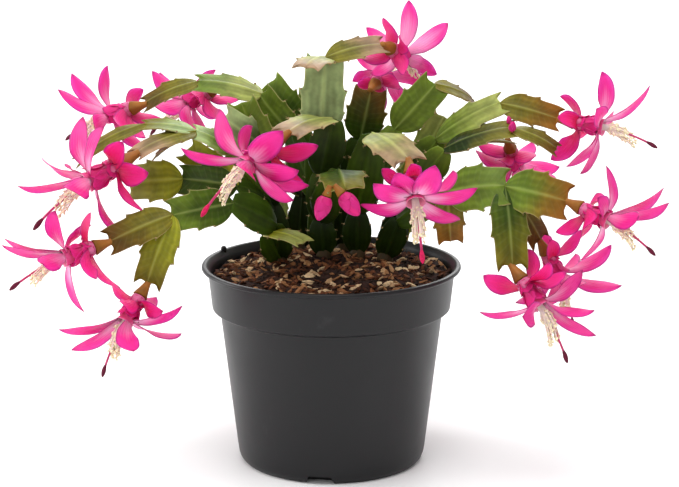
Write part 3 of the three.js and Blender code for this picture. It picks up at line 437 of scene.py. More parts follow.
def smooth_curve(keys, samples):
    """Points on a smooth curve through key points (Catmull-Rom), evenly many on each span."""
    keys = np.asarray(keys, float)
    padded = np.vstack([2 * keys[0] - keys[1], keys, 2 * keys[-1] - keys[-2]])
    found = []
    spans = len(keys) - 1
    for k in range(samples):
        u = k / (samples - 1) * spans
        i = min(int(u), spans - 1)
        f = u - i
        p0, p1, p2, p3 = padded[i:i + 4]
        found.append(0.5 * (2 * p1 + (p2 - p0) * f + (2 * p0 - 5 * p1 + 4 * p2 - p3) * f * f
                            + (3 * p1 - p0 - 3 * p2 + p3) * f ** 3))
    return np.array(found)


def ring_of(radius, angles, z):
    return np.stack([radius * np.cos(angles), radius * np.sin(angles), z + 0 * angles], 1)


def stacked(rings, low, high):
    """Points and faces of rings from the bottom up, closed round a middle point at each end."""
    sides = len(rings[0])
    points = np.concatenate([*rings, [low], [high]])
    faces = grid_faces(len(rings), sides, closed=True)
    last = (len(rings) - 1) * sides
    faces += [(i, len(points) - 2, (i + 1) % sides) for i in range(sides)]
    faces += [(last + i, last + (i + 1) % sides, len(points) - 1) for i in range(sides)]
    return points, faces


def lathe(profile, sides, lobes=0, depth=0.0):
    """A closed skin of revolution round local Z from (radius, z) points, with optional shallow lobes."""
    angles = np.linspace(0, 2 * math.pi, sides, endpoint=False)
    ripple = 1 + depth * np.cos(lobes * angles)
    rings = [ring_of(r * ripple, angles, z) for r, z in profile]
    return stacked(rings, (0, 0, profile[0][1]), (0, 0, profile[-1][1]))


def unit(v):
    v = np.asarray(v, float)
    return v / np.linalg.norm(v)


def linear(code):
    """A web hex colour as scene-linear red, green and blue."""
    values = [int(code[i:i + 2], 16) / 255 for i in (0, 2, 4)]
    return tuple(v / 12.92 if v <= 0.04045 else ((v + 0.055) / 1.055) ** 2.4 for v in values)


def rgba(code):
    return (*linear(code), 1)


def tone(name):
    return np.array(linear(TONES[name]))


# ------------------------------------------------------------------ stem segments

# Half outlines as spans between sharp points: (how far along, half-width share).
OUTLINES = {
    "toothed": [
        [(0, 0.13), (0.05, 0.42), (0.13, 0.7), (0.23, 0.9), (0.31, 0.98), (0.36, 1.05)],
        [(0.36, 1.05), (0.372, 0.965), (0.43, 0.965), (0.53, 0.99), (0.62, 1.1)],
        [(0.62, 1.1), (0.635, 0.93), (0.7, 0.88), (0.82, 0.87), (0.93, 0.86), (1.05, 0.8)],
        [(1.05, 0.8), (0.995, 0.66), (0.965, 0.42), (0.975, 0.2), (0.98, 0.02)],
    ],
    "plain": [
        [(0, 0.42), (0.07, 0.58), (0.18, 0.78), (0.3, 0.92), (0.4, 0.99)],
        [(0.4, 0.99), (0.42, 0.94), (0.5, 0.98), (0.62, 0.96), (0.7, 0.93)],
        [(0.7, 0.93), (0.715, 0.86), (0.8, 0.78), (0.9, 0.64), (0.97, 0.5)],
        [(0.97, 0.5), (0.975, 0.34), (0.985, 0.16), (0.985, 0.02)],
    ],
}
SPAN_SAMPLES = [13, 9, 13, 9]
ACROSS = [0, 0.06, 0.14, 0.26, 0.42, 0.58, 0.73, 0.86, 0.95, 1]
CROSS_THICKNESS = [1.16, 1, 0.84, 0.76, 0.66, 0.56, 0.46, 0.37, 0.29, 0.11]  # shares of the rib's thickness


def frame_of(start, end, face):
    """Unit vectors along a segment, across its face and out of its face, and its length."""
    along = np.asarray(end, float) - start
    length = np.linalg.norm(along)
    along = along / length
    normal = unit(np.asarray(face, float) - along * np.dot(face, along))
    return along, np.cross(along, normal), normal, length


def soil_top(x, y):
    """How high the potting mix stands at a place."""
    share = np.hypot(x, y) / SOIL_MOUND["radius"]
    return SOIL_LEVEL + SOIL_MOUND["rise"] * np.maximum(0, 1 - share * share)


def find_segments():
    found = {}
    for crown, (root, segments) in CROWNS.items():
        for name, carrier, tip, width, face, form, foot_tone, tip_tone in segments:
            start = np.array([*root, soil_top(*root) + STUB_RISE / 2])
            if carrier != "root":
                start = found[carrier]["end"] - found[carrier]["frame"][0] * SEGMENT_SUNK
            end = np.array(tip, float)
            found[name] = {"crown": crown, "start": start, "end": end, "width": width, "form": form,
                           "frame": frame_of(start, end, face), "tones": (foot_tone, tip_tone)}
    return found


SEGMENTS = find_segments()


def half_outline(form, draw):
    """One edge of a segment, its teeth nudged so that no two are alike."""
    rows = []
    for keys, samples in zip(OUTLINES[form], SPAN_SAMPLES):
        keys = [list(key) for key in keys]
        rows.append([keys, samples])
    for before, after in zip(rows[:2], rows[1:3]):
        shift, grow = draw.uniform(-0.025, 0.025), draw.uniform(-0.035, 0.03)
        for key in (before[0][-1], after[0][0], after[0][1]):
            key[0] += shift
        for key in (before[0][-1], after[0][0]):
            key[1] += grow
    parts = [smooth_curve(keys, samples) for keys, samples in rows]
    return np.concatenate([parts[0]] + [part[1:] for part in parts[1:]])


def add_segment(skin, name, areoles):
    """One flat segment with its rib and teeth, and the places of its areoles."""
    segment = SEGMENTS[name]
    along, side, normal, length = segment["frame"]
    start, width, form = segment["start"], segment["width"], segment["form"]
    draw = random.Random(name)
    left, right = half_outline(form, draw), half_outline(form, draw)
    left[:, 1] *= -1
    spine = (left * [1, -1] + right) / 2 * [length, width / 2]
    steps = np.linalg.norm(np.diff(spine, axis=0), axis=1)
    rib = np.concatenate([[0], np.cumsum(steps)]) / steps.sum() * RIB_END
    cup = draw.uniform(-0.03, 0.07)
    twist = math.radians(draw.uniform(-7, 7))
    wave, phase = draw.uniform(0.2, 0.6), draw.uniform(0, 2 * math.pi)
    shares = np.array([-q for q in ACROSS[:0:-1]] + ACROSS)
    depth = np.array(CROSS_THICKNESS[:0:-1] + CROSS_THICKNESS)
    edges = [left if q < 0 else right for q in shares]
    t = np.stack([rib + (edge[:, 0] - rib) * abs(q) for edge, q in zip(edges, shares)], 1)
    s = np.stack([edge[:, 1] * abs(q) for edge, q in zip(edges, shares)], 1)
    thick = RIB_THICKNESS * (PLAIN_THICKER if form == "plain" else 1) * depth * (1 - 0.35 * np.clip(t, 0, 1))
    thick[-1] *= 0.4

    def rise(t, s):
        """How high the blade's middle layer stands over the line from its start to its end."""
        return SEGMENT_ARCH * length * 4 * t * (1 - t) + cup * width * (s * s - 0.25)

    lift = rise(t, s) + wave * np.sin(t * 9 + phase) * np.abs(s) ** 3
    turn = twist * (t - 0.5)
    across = s * width / 2

    def layer(height):
        out = across * np.cos(turn) - height * np.sin(turn)
        up = across * np.sin(turn) + height * np.cos(turn)
        return start + along * (t * length)[..., None] + side * out[..., None] + normal * up[..., None]

    foot_tone, tip_tone = segment["tones"]
    skin.add_blade([layer(lift + thick / 2), layer(lift - thick / 2)], foot_tone=tone(foot_tone),
                   tip_tone=tone(tip_tone), along=t, across=np.broadcast_to(np.abs(shares), t.shape),
                   vein=rib[:, None] + 0 * t, young=float(form == "toothed"))
    for edge in (left, right):
        for k in np.cumsum(SPAN_SAMPLES[:2]) - (0, 1):
            there, out = edge[k]
            spot = start + along * there * length + side * out * width / 2 + normal * rise(there, out)
            way = unit(side * np.sign(out) + along * 0.4)
            areoles.append((spot - way * 0.3, way))
    areoles.append((segment["end"] - along * 1.0, along))


# ------------------------------------------------------------------ blooms

PETAL_OUTLINES = {
    "inner": [(0, 0.28), (0.12, 0.5), (0.3, 0.84), (0.5, 1), (0.68, 0.95), (0.83, 0.7), (0.94, 0.34), (1, 0.03)],
    "outer": [(0, 0.6), (0.18, 0.84), (0.42, 1), (0.65, 0.93), (0.84, 0.6), (0.94, 0.32), (1, 0.03)],
}
PETAL_ROWS = 19
PETAL_ACROSS = np.array([-1, -0.86, -0.62, -0.34, 0, 0.34, 0.62, 0.86, 1])


def placing(origin, pointing, size):
    """Columns of a bloom's own axes (local Z along it, local Y upwards) scaled by its size, and its origin."""
    z = unit(pointing)
    up = np.array([0, 0, 1.0])
    y = up - z * np.dot(up, z)
    if np.linalg.norm(y) < 0.2:
        y = np.array([0, 1.0, 0]) - z * z[1]
    y = unit(y)
    return np.stack([np.cross(y, z), y, z], 1) * size, np.asarray(origin, float)


def put(points, place):
    """Local points, sagging past the tube, in the plant's own frame."""
    points = np.array(points, float).reshape(-1, 3)
    past = np.maximum(0, points[:, 2] - DROOP_START)
    points[:, 1] -= DROOP * past * past
    axes, origin = place
    return points @ axes.T + origin


def petal_blade(whorl, kind, petal, draw):
    """Top and bottom grids of one petal on its bloom's own axes, and how far along each point is."""
    azimuth, lean, length, *roll = petal
    angle, tilt = math.radians(azimuth), math.radians(lean)
    final_roll = math.radians((roll[0] if roll else USUAL_ROLL) + draw.uniform(-6, 6))
    out_way = np.array([math.cos(angle), math.sin(angle), 0])
    round_way = np.array([-math.sin(angle), math.cos(angle), 0])
    axis = np.array([0, 0, 1.0])
    start = whorl["root"] + ROOT_ADVANCE * max(0, 1 - lean / 90)
    t = np.linspace(0, 1, PETAL_ROWS) ** 0.92
    keys = smooth_curve(PETAL_OUTLINES[kind], 60)
    half = np.interp(t, keys[:, 0], keys[:, 1]) * whorl["width"] / 2 * draw.uniform(0.94, 1.06)
    bow = PETAL_BOW * length * 4 * t * (1 - t)
    out = whorl["radius"] + t * length * math.sin(tilt) - bow * math.cos(tilt)
    z = start + t * length * math.cos(tilt) + bow * math.sin(tilt)
    local = tilt + 8 * PETAL_BOW * (t - 0.5)
    roll_here = final_roll * np.clip(t / 0.4, 0, 1) ** 1.5
    channel = draw.uniform(0.1, 0.2) + 0.25 * (1 - t) ** 3
    ripple = 0.25 * np.sin(t * draw.uniform(7, 10) + draw.uniform(0, 6))
    q = PETAL_ACROSS
    grids = []
    for sign in (1, -1):
        rows = []
        for k in range(PETAL_ROWS):
            inward = -out_way * math.cos(local[k]) + axis * math.sin(local[k])
            sideways = round_way * math.cos(roll_here[k]) + inward * math.sin(roll_here[k])
            face = inward * math.cos(roll_here[k]) - round_way * math.sin(roll_here[k])
            height = channel[k] * half[k] * q ** 2 + ripple[k] * np.abs(q) ** 3
            height = height + sign * PETAL_THICKNESS / 2 * (1 - 0.75 * q ** 2) * (1 - 0.6 * t[k])
            centre = out_way * out[k] + axis * z[k]
            rows.append(centre + np.outer(q * half[k], sideways) + np.outer(height, face))
        grids.append(np.array(rows))
    return grids, np.broadcast_to(t[:, None], (PETAL_ROWS, len(q)))


def add_petals(skin, petals, place, draw):
    for kind, whorl in (("outer", OUTER_WHORL), ("inner", INNER_WHORL)):
        for petal in petals[kind]:
            grids, t = petal_blade(whorl, kind, petal, draw)
            inside = np.repeat([1.0, 0.0], t.size)
            skin.add_blade(grids, place, along=t, across=np.broadcast_to(np.abs(PETAL_ACROSS), t.shape),
                           inside=inside, deep=float(kind == "outer") * 0.8 + draw.uniform(0, 0.2))


def add_scales(skin, place, draw):
    """Two rings of close-set scales that pass from the cup to the petals."""
    for k, (root, radius, width, lean, length, deep) in enumerate(SCALE_RINGS):
        whorl = {"root": root, "radius": radius, "width": width}
        for i in range(5):
            scale = (72 * i + 36 * k + draw.uniform(-10, 10), lean + draw.uniform(-3, 5),
                     length * draw.uniform(0.85, 1.1), draw.uniform(-6, 6))
            grids, t = petal_blade(whorl, "outer", scale, draw)
            across = np.broadcast_to(SOFT_MARGIN * np.abs(PETAL_ACROSS), t.shape)
            skin.add_blade(grids, place, along=t, across=across, inside=0.0, deep=deep)


def add_tube(skin, place):
    """The tube from the cup to its mouth, and its throat."""
    outer = smooth_curve([(3.3, 7.9), (3.9, 9.4), (4.0, 11.4), (3.2, 15), (3.1, 18), (3.7, 21), (4.5, 23.2)], 22)
    inner = smooth_curve([(4.4, 23.7), (3.4, 22.2), (2.5, 19), (2.2, 15.5), (2.0, 13)], 12)
    profile = np.concatenate([outer, inner])
    along = np.clip((profile[:, 1] - outer[0, 1]) / 50, 0, 0.3)
    along[len(outer):] = 0.02
    inside = np.arange(len(profile)) >= len(outer)
    skin.add_lathe(profile, 28, 7, 0.035, place, along=np.append(along, [0, 0]), across=0.4,
                   inside=np.append(inside, [0, 1]), deep=0.55)


def add_style(skin, place):
    """The style, and the club of close-set stigma lobes on its end."""
    radius, root, length = STYLE["radius"], STYLE["root"], STYLE["length"]
    end = root + length
    stalk = [(radius * 1.15, root), (radius, 20), (radius * 0.95, 30), (radius * 0.9, 38), (radius, end)]
    stalk = smooth_curve(stalk, 20)
    skin.add_lathe(stalk, 10, place=place, slot=1, along=np.append((stalk[:, 1] - root) / length, [0, 1]))
    size, tip = STIGMA["radius"], STIGMA["length"]
    club = smooth_curve([(radius * 0.8, end - 0.6), (size * 0.75, end + 0.7), (size, end + tip * 0.42),
                         (size * 0.86, end + tip * 0.7), (size * 0.45, end + tip * 0.93), (0.1, end + tip)], 14)
    skin.add_lathe(club, 24, 6, 0.1, place, slot=2, along=1.0)


def filament_lines(place, draw):
    """Lines for the stamens' filaments: a sheaf round the style that spreads at its end."""
    lines = []
    for k in range(FILAMENTS):
        angle = k * GOLDEN_ANGLE + draw.uniform(-0.2, 0.2)
        reach = draw.uniform(27, 41)
        spread = draw.uniform(0.2, 2.2)
        r, z = smooth_curve([(1.0, 13.5), (1.25, 20), (1.5, 25), (1.5 + spread * 0.45, (25 + reach) / 2),
                             (1.2 + spread, reach)], 10).T
        swirl = angle + np.linspace(0, draw.uniform(-0.35, 0.35), len(r))
        points = ring_of(r, swirl, z)
        points[:, 1] -= 0.012 * np.maximum(0, z - 25) ** 2
        lines.append(put(points, place))
    return lines


# ------------------------------------------------------------------ node helpers


def feed(tree, made, inputs):
    """Each input of a node gets its value, or the socket that feeds it."""
    for key, value in inputs.items():
        if isinstance(value, bpy.types.NodeSocket):
            tree.links.new(value, made.inputs[key])
        else:
            made.inputs[key].default_value = value


class Graph:
    """A node tree, with short ways to add nodes to it; all but node() return an output socket."""

    prefix = "ShaderNode"

    def __init__(self, tree):
        self.tree = tree

    def node(self, kind, inputs=None, **settings):
        made = self.tree.nodes.new(kind)
        for key, value in settings.items():
            setattr(made, key, value)
        feed(self.tree, made, inputs or {})
        return made

    def add(self, kind, inputs=None, out=0, **settings):
        return self.node(self.prefix + kind, inputs, **settings).outputs[out]

    def math(self, operation, a, b):
        return self.node("ShaderNodeMath", {0: a, 1: b}, operation=operation).outputs[0]

    def plus(self, a, b):
        return self.math("ADD", a, b)

    def times(self, a, *others):
        for b in others:
            a = self.math("MULTIPLY", a, b)
        return a

    def ramp(self, value, low, high, to_low=0.0, to_high=1.0):
        """A smooth ramp of a value between two edges."""
        return self.add("MapRange", {0: value, 1: low, 2: high, 3: to_low, 4: to_high},
                        interpolation_type="SMOOTHSTEP")


class Look(Graph):
    """A material built on its Principled shader; constants go on the shader's own sockets."""

    def __init__(self, name, roughness, **constants):
        self.material = bpy.data.materials.new(name)
        self.material.use_nodes = True
        super().__init__(self.material.node_tree)
        self.shader = self.tree.nodes["Principled BSDF"]
        for key, value in {"Roughness": roughness, **constants}.items():
            self.shader.inputs[key.replace("_", " ")].default_value = value
        self.place = self.add("TexCoord", out="Object")

    def read(self, name, out="Fac"):
        return self.add("Attribute", attribute_name=name, out=out)

    def noise(self, scale, detail, **more):
        return self.add("TexNoise", {"Vector": self.place, "Scale": scale, "Detail": detail, **more}, out="Fac")

    def group(self, tree, **inputs):
        """The first output of a shared node group fed with its own values."""
        return self.add("Group", inputs, node_tree=tree)

    def mottle(self, scale, strength):
        return self.group(MOTTLE, Vector=self.place, Scale=scale, Strength=strength)

    def roughen(self, base, scale, strength):
        """Roughness that changes a little over the surface."""
        feed(self.tree, self.shader, {"Roughness": self.times(self.mottle(scale, strength), base)})

    def mix(self, share, a, b, blend="MIX"):
        return self.add("Mix", {0: share, 6: a, 7: b}, out=2, data_type="RGBA", blend_type=blend)

    def shaded(self, colour, factor):
        """A colour made lighter or darker by a factor that changes over the surface."""
        return self.mix(1.0, colour, self.add("CombineColor", {0: factor, 1: factor, 2: factor}), "MULTIPLY")

    def finish(self, colour, height=None, strength=0.0, distance=0.0):
        """The material, with its colour and any bump joined to the shader."""
        feed(self.tree, self.shader, {"Base Color": colour})
        if height is not None:
            relief = self.add("Bump", {"Height": height, "Strength": strength, "Distance": distance})
            feed(self.tree, self.shader, {"Normal": relief})
        return self.material


class Group(Graph):
    """A node group; an input is given as a default number, or as the name of its socket type."""

    def __init__(self, name, prefix, result, **inputs):
        super().__init__(bpy.data.node_groups.new(name, prefix + "Tree"))
        self.prefix = prefix
        for label, given in inputs.items():
            named = isinstance(given, str)
            made = self.socket(label.replace("_", " "), "INPUT", given if named else type(given).__name__.title())
            if not named:
                made.default_value = given
        self.socket(result, "OUTPUT", "Float" if result == "Value" else result)
        self.given = self.tree.nodes.new("NodeGroupInput").outputs
        self.end = self.tree.nodes.new("NodeGroupOutput")

    def socket(self, name, side, kind):
        return self.tree.interface.new_socket(name=name, in_out=side, socket_type="NodeSocket" + kind)

    def result(self, value):
        """The finished tree, with this value as what it gives."""
        self.tree.links.new(value, self.end.inputs[0])
        return self.tree


def mottle_group():
    """Soft uneven brightness over a surface, round 1."""
    g = Group("uneven_tone", "ShaderNode", "Value", Vector="Vector", Scale=60.0, Strength=0.2)
    noise = g.add("TexNoise", {"Vector": g.given["Vector"], "Scale": g.given["Scale"], "Detail": 3.0,
                               "Roughness": 0.55}, out="Fac")
    return g.result(g.plus(g.times(g.plus(noise, -0.5), g.given["Strength"], 3.0), 1.0))


def streak_group():
    """Fine lines that run along a blade, from its own along and across values."""
    g = Group("lengthwise_lines", "ShaderNode", "Value", Along="Float", Across="Float", Vector="Vector", Count=12.0)
    wobble = g.add("TexNoise", {"Vector": g.given["Vector"], "Scale": 90.0, "Detail": 1.0}, out="Fac")
    lane = g.plus(g.given["Across"], g.times(wobble, 0.12))
    wave = g.math("SINE", g.times(lane, g.given["Count"], 2 * math.pi), 0.0)
    return g.result(g.times(wave, g.ramp(g.given["Along"], 0.95, 0.5)))


MOTTLE = mottle_group()
STREAKS = streak_group()

# ------------------------------------------------------------------ materials


def stem_look():
    m = Look("stem_skin", 0.46, Specular_IOR_Level=0.14, Subsurface_Weight=0.06, Subsurface_Scale=0.002)
    along, across, vein, young = (m.read(name) for name in ("along", "across", "vein", "young"))
    drift = m.times(m.plus(m.noise(70.0, 2.0), -0.5), 0.7)
    reach = m.plus(m.plus(along, drift), m.times(across, 0.15))
    colour = m.mix(m.ramp(reach, 0.3, 1.05), m.read("foot_tone", "Color"), m.read("tip_tone", "Color"))
    colour = m.shaded(colour, m.mottle(120.0, 0.45))
    lines = m.ramp(m.math("SINE", m.times(vein, 75.0), 0.0), 0.3, 1.0)
    veins = m.times(lines, m.ramp(across, 0.05, 0.3), m.times(young, 0.025))
    colour = m.mix(veins, colour, rgba("b9c48a"))
    # Painted highlight: lengthwise light and dark streaks stand in for the glossy streaks of light along the skin.
    streaks = m.group(STREAKS, Along=along, Across=across, Vector=m.place, Count=3.0)
    colour = m.shaded(colour, m.plus(m.times(streaks, 0.12), 1.0))
    # Painted shade: darker bands along both sides of the rib.
    rib_side_shade = m.times(m.ramp(across, 0.05, 0.25), m.ramp(across, 0.7, 0.3), 0.22)
    colour = m.shaded(colour, m.math("SUBTRACT", 1.0, rib_side_shade))
    rib = m.times(m.ramp(across, 0.12, 0.0), m.times(young, 0.22))
    colour = m.mix(rib, colour, rgba("a9b26c"))
    colour = m.mix(m.times(m.ramp(across, 0.93, 1.0), young, 0.4), colour, rgba("b3a271"))
    m.roughen(0.46, 300.0, 0.25)
    relief = m.plus(m.times(m.noise(900.0, 2.0), 0.15), m.noise(170.0, 1.0))
    return m.finish(colour, m.plus(relief, m.times(lines, young, 0.1)), 0.35, 0.0006)


def petal_look():
    """Pale at the foot, pinker outwards, with a dark margin; paler again high up in the light."""
    m = Look("petal", 0.5, Specular_IOR_Level=0.15, Subsurface_Weight=0.35, Subsurface_Scale=0.003,
             Subsurface_Radius=(1.0, 0.35, 0.6))
    along, across, inside, deep = (m.read(name) for name in ("along", "across", "inside", "deep"))
    lines = m.group(STREAKS, Along=along, Across=across, Vector=m.place, Count=4.0)
    reach = m.plus(m.plus(along, m.times(across, 0.28)), m.times(lines, 0.035))
    # Painted light: petals high on the plant are painted paler, where the top light falls.
    height = m.add("SeparateXYZ", {0: m.place}, out="Z")
    reach = m.math("SUBTRACT", reach, m.ramp(height, 0.17, 0.22, 0.0, 0.3))
    flesh = m.mix(m.ramp(reach, 0.04, 0.66), rgba("f6c0de"), rgba("dd2d88"))
    flesh = m.mix(m.ramp(reach, 0.8, 1.25), flesh, rgba("c6146a"))
    dark = m.mix(m.ramp(along, 0.0, 0.8), rgba("c20c49"), rgba("dc1f70"))
    colour = m.mix(deep, flesh, dark)
    colour = m.mix(inside, m.mix(0.45, colour, rgba("d9287c")), colour)
    margin = m.math("MAXIMUM", m.ramp(along, 0.88, 1.0), m.ramp(across, 0.78, 0.96, 0.0, 0.85))
    colour = m.mix(m.times(margin, 0.9), colour, rgba("7f124c"))
    colour = m.shaded(colour, m.mottle(110.0, 0.1))
    return m.finish(colour, m.plus(m.times(m.noise(700.0, 2.0), 0.2), m.times(lines, 0.5)), 0.3, 0.0003)


def style_look():
    m = Look("style", 0.45, Subsurface_Weight=0.2, Subsurface_Scale=0.001)
    colour = m.mix(m.ramp(m.read("along"), 0.1, 0.9), rgba("f08ec0"), rgba("b31a5c"))
    return m.finish(m.shaded(colour, m.mottle(400.0, 0.15)))


def pot_look():
    m = Look("pot_plastic", 0.42, Specular_IOR_Level=0.32)
    colour = m.shaded(rgba("111113"), m.mottle(25.0, 0.05))
    scuffs = m.ramp(m.noise(45.0, 6.0, Roughness=0.7, Distortion=0.6), 0.62, 0.78)
    colour = m.mix(m.times(scuffs, 0.12), colour, rgba("4c4c4e"))
    m.roughen(0.42, 60.0, 0.1)
    return m.finish(colour, m.noise(1400.0, 2.0), 0.12, 0.0003)


def soil_look():
    m = Look("potting_mix", 0.95, Specular_IOR_Level=0.2)
    grains = m.add("TexVoronoi", {"Vector": m.place, "Scale": 420.0}, out="Distance")
    colour = m.mix(m.ramp(grains, 0.1, 0.6), rgba("1a0f09"), rgba("33201a"))
    return m.finish(m.shaded(colour, m.mottle(160.0, 0.5)), m.noise(330.0, 5.0), 1.0, 0.0015)


# Tones of the bark chips, darkest first, with how many chips are darker.
BARK_TONES = [(0.0, "120904"), (0.5, "28160b"), (0.72, "452513"), (0.86, "6c3e22"), (0.95, "9a6e46"), (1.0, "dcc298")]


def bark_look():
    m = Look("bark_chip", 0.85, Specular_IOR_Level=0.25)
    tones = m.node("ShaderNodeValToRGB", {0: m.read("chip_tone")})
    for k, (spot, code) in enumerate(BARK_TONES):
        stop = tones.color_ramp.elements[k] if k < 2 else tones.color_ramp.elements.new(spot)
        stop.position, stop.color = spot, rgba(code)
    m.place = m.add("Mapping", {"Vector": m.place, "Scale": (1.0, 1.0, 4.0)})
    return m.finish(m.shaded(tones.outputs[0], m.mottle(500.0, 0.5)), m.noise(900.0, 4.0), 0.8, 0.0006)


def plain_look(name, roughness, code, mottle, grain=None, **constants):
    """One colour, a little uneven, with fine relief as (scale, strength, distance) if wanted."""
    m = Look(name, roughness, **constants)
    colour = m.shaded(rgba(code), m.mottle(*mottle))
    return m.finish(colour, m.noise(grain[0], 1.0), *grain[1:]) if grain else m.finish(colour)


STEM, PETAL, STYLE_SKIN = stem_look(), petal_look(), style_look()
STIGMAS = {name: plain_look("stigma_" + name, 0.6, code, (900.0, 0.4), (2500.0, 0.5, 0.0002), Specular_IOR_Level=0.2)
           for name, code in (("pink", "c4124f"), ("wine", "5c0c2a"))}
FILAMENT = plain_look("filament", 0.5, "f5ddcf", (300.0, 0.12), Subsurface_Weight=0.3, Subsurface_Scale=0.001)
POLLEN = plain_look("pollen", 0.8, "f4e8c2", (800.0, 0.3), (3500.0, 0.6, 0.0002))
POT, SOIL, BARK = pot_look(), soil_look(), bark_look()
WOOL = plain_look("areole_wool", 0.9, "8f7a52", (900.0, 0.4))

# ------------------------------------------------------------------ geometry nodes


def applied(piece):
    """A piece with its modifiers made real."""
    bpy.context.view_layer.update()
    depsgraph = bpy.context.evaluated_depsgraph_get()
    mesh = bpy.data.meshes.new_from_object(piece.evaluated_get(depsgraph), preserve_all_data_layers=True,
                                           depsgraph=depsgraph)
    mesh.name = piece.name
    piece.modifiers.clear()
    old, piece.data = piece.data, mesh
    bpy.data.meshes.remove(old)
    return piece


def grown(piece, tree, **inputs):
    """The plain mesh that a geometry node tree makes of a piece."""
    modifier = piece.modifiers.new(tree.name, "NODES")
    modifier.node_group = tree
    for item in tree.interface.items_tree:
        if item.in_out == "INPUT" and item.name in inputs:
            modifier[item.identifier] = inputs[item.name]
    return applied(piece)


class Growth(Group):
    """A geometry node group, with its own ways to turn, coat and join."""

    def __init__(self, name, **inputs):
        super().__init__(name, "GeometryNode", "Geometry", Geometry="Geometry", **inputs)

    def function(self, kind, inputs, out=0, **settings):
        return self.node("FunctionNode" + kind, inputs, **settings).outputs[out]

    def facing(self, way):
        return self.function("AlignRotationToVector", {"Vector": way}, axis="Z")

    def random_turn(self, lean, spin):
        """A random lean to any side, and a random spin."""
        return self.function("RandomValue", {"Min": (-lean, -lean, 0), "Max": (lean, lean, spin),
                                             "Seed": self.given["Seed"]}, data_type="FLOAT_VECTOR")

    def shaken(self, rotation, lean, spin):
        return self.function("RotateRotation", {"Rotation": rotation, "Rotate By": self.random_turn(lean, spin)},
                             rotation_space="LOCAL")

    def copies(self, points, instance, rotation, **more):
        return self.add("InstanceOnPoints", {"Points": points, "Instance": instance, "Rotation": rotation, **more})

    def coated(self, geometry, material):
        return self.add("SetMaterial", {"Geometry": geometry, "Material": material})

    def real(self, geometry):
        return self.add("RealizeInstances", {"Geometry": geometry})

    def joined(self, *parts):
        made = self.tree.nodes.new("GeometryNodeJoinGeometry")
        for part in parts:
            self.tree.links.new(part, made.inputs[0])
        return made.outputs[0]


def stamen_tree():
    """Filaments swept along their lines, with a pollen head on the far end of each."""
    g = Growth("stamen_sheaf", Filament_Radius=0.00026, Head_Length=0.002, Head_Width=0.0011, Seed=3)
    curve = g.add("MeshToCurve", {"Mesh": g.given["Geometry"]})
    ring = g.add("CurvePrimitiveCircle", {"Resolution": 5, "Radius": g.given["Filament Radius"]}, mode="RADIUS")
    swept = g.add("CurveToMesh", {"Curve": curve, "Profile Curve": ring, "Fill Caps": True})
    ends = g.add("CurveEndpointSelection", {"Start Size": 0, "End Size": 1})
    head = g.add("MeshUVSphere", {"Segments": 6, "Rings": 5, "Radius": 0.5})
    wide = g.given["Head Width"]
    size = g.node("ShaderNodeCombineXYZ", {0: wide, 1: wide, 2: g.given["Head Length"]}).outputs[0]
    turn = g.shaken(g.facing(g.add("InputTangent")), 0.9, 6.28)
    heads = g.copies(curve, head, turn, Selection=ends, Scale=size)
    whole = g.joined(g.coated(g.real(heads), POLLEN), g.coated(swept, FILAMENT))
    return g.result(g.add("SetShadeSmooth", {"Geometry": whole}))


def tuft_tree():
    """Woolly pads with a few short bristles on points that carry the way they face."""
    g = Growth("areole_tufts", Pad_Radius=0.0006, Bristle_Length=0.0016, Seed=5)
    points = g.given["Geometry"]
    facing = g.facing(g.add("InputNamedAttribute", {"Name": "way"}, data_type="FLOAT_VECTOR"))
    pad = g.add("MeshIcoSphere", {"Radius": g.given["Pad Radius"], "Subdivisions": 2})
    pads = g.copies(points, pad, facing, Scale=(1.0, 1.0, 0.6))
    spots = g.add("DuplicateElements", {"Geometry": g.add("MeshToPoints", {"Mesh": points}), "Amount": 4},
                  domain="POINT")
    bristle = g.add("MeshCone", {"Vertices": 3, "Radius Top": 0.00003, "Radius Bottom": 0.00009,
                                 "Depth": g.given["Bristle Length"]})
    bristles = g.copies(spots, bristle, g.shaken(facing, 0.5, 0))
    return g.result(g.coated(g.real(g.joined(bristles, pads)), WOOL))


def chip_tree(chips):
    """Bark chips scattered over the soil, each with its own size, turn and tone."""
    g = Growth("bark_mulch", Density=210000.0, Smallest=0.12, Largest=1.05, Seed=7)
    seed = g.given["Seed"]
    parts = g.node("ShaderNodeSeparateXYZ", {0: g.add("InputPosition")}).outputs
    flat = g.node("ShaderNodeCombineXYZ", {0: parts[0], 1: parts[1]}).outputs[0]
    far = g.node("ShaderNodeVectorMath", {0: flat}, operation="LENGTH").outputs["Value"]
    near = g.function("Compare", {0: far, 1: MULCH_RADIUS}, data_type="FLOAT", operation="LESS_THAN")
    high = g.function("Compare", {0: parts[2], 1: MULCH_FLOOR}, data_type="FLOAT", operation="GREATER_THAN")
    wanted = g.function("BooleanMath", {0: near, 1: high}, operation="AND")
    points = g.add("DistributePointsOnFaces", {"Mesh": g.given["Geometry"], "Selection": wanted,
                                               "Density": g.given["Density"], "Seed": seed}, out="Points")
    tone = g.function("RandomValue", {"Seed": seed}, out=1, data_type="FLOAT")
    toned = g.add("StoreNamedAttribute", {"Geometry": points, "Name": "chip_tone", "Value": tone},
                  data_type="FLOAT", domain="POINT")
    kinds = g.add("CollectionInfo", {"Collection": chips, "Separate Children": True, "Reset Children": True})
    size = g.function("RandomValue", {2: g.given["Smallest"], 3: g.given["Largest"], "Seed": seed}, out=1,
                      data_type="FLOAT")
    scattered = g.copies(toned, kinds, g.random_turn(0.7, 6.28), Scale=size, **{"Pick Instance": True})
    return g.result(g.coated(g.real(scattered), BARK))


# ------------------------------------------------------------------ pieces


def finish_piece(piece, nodes):
    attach(piece, "root")
    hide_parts(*nodes)


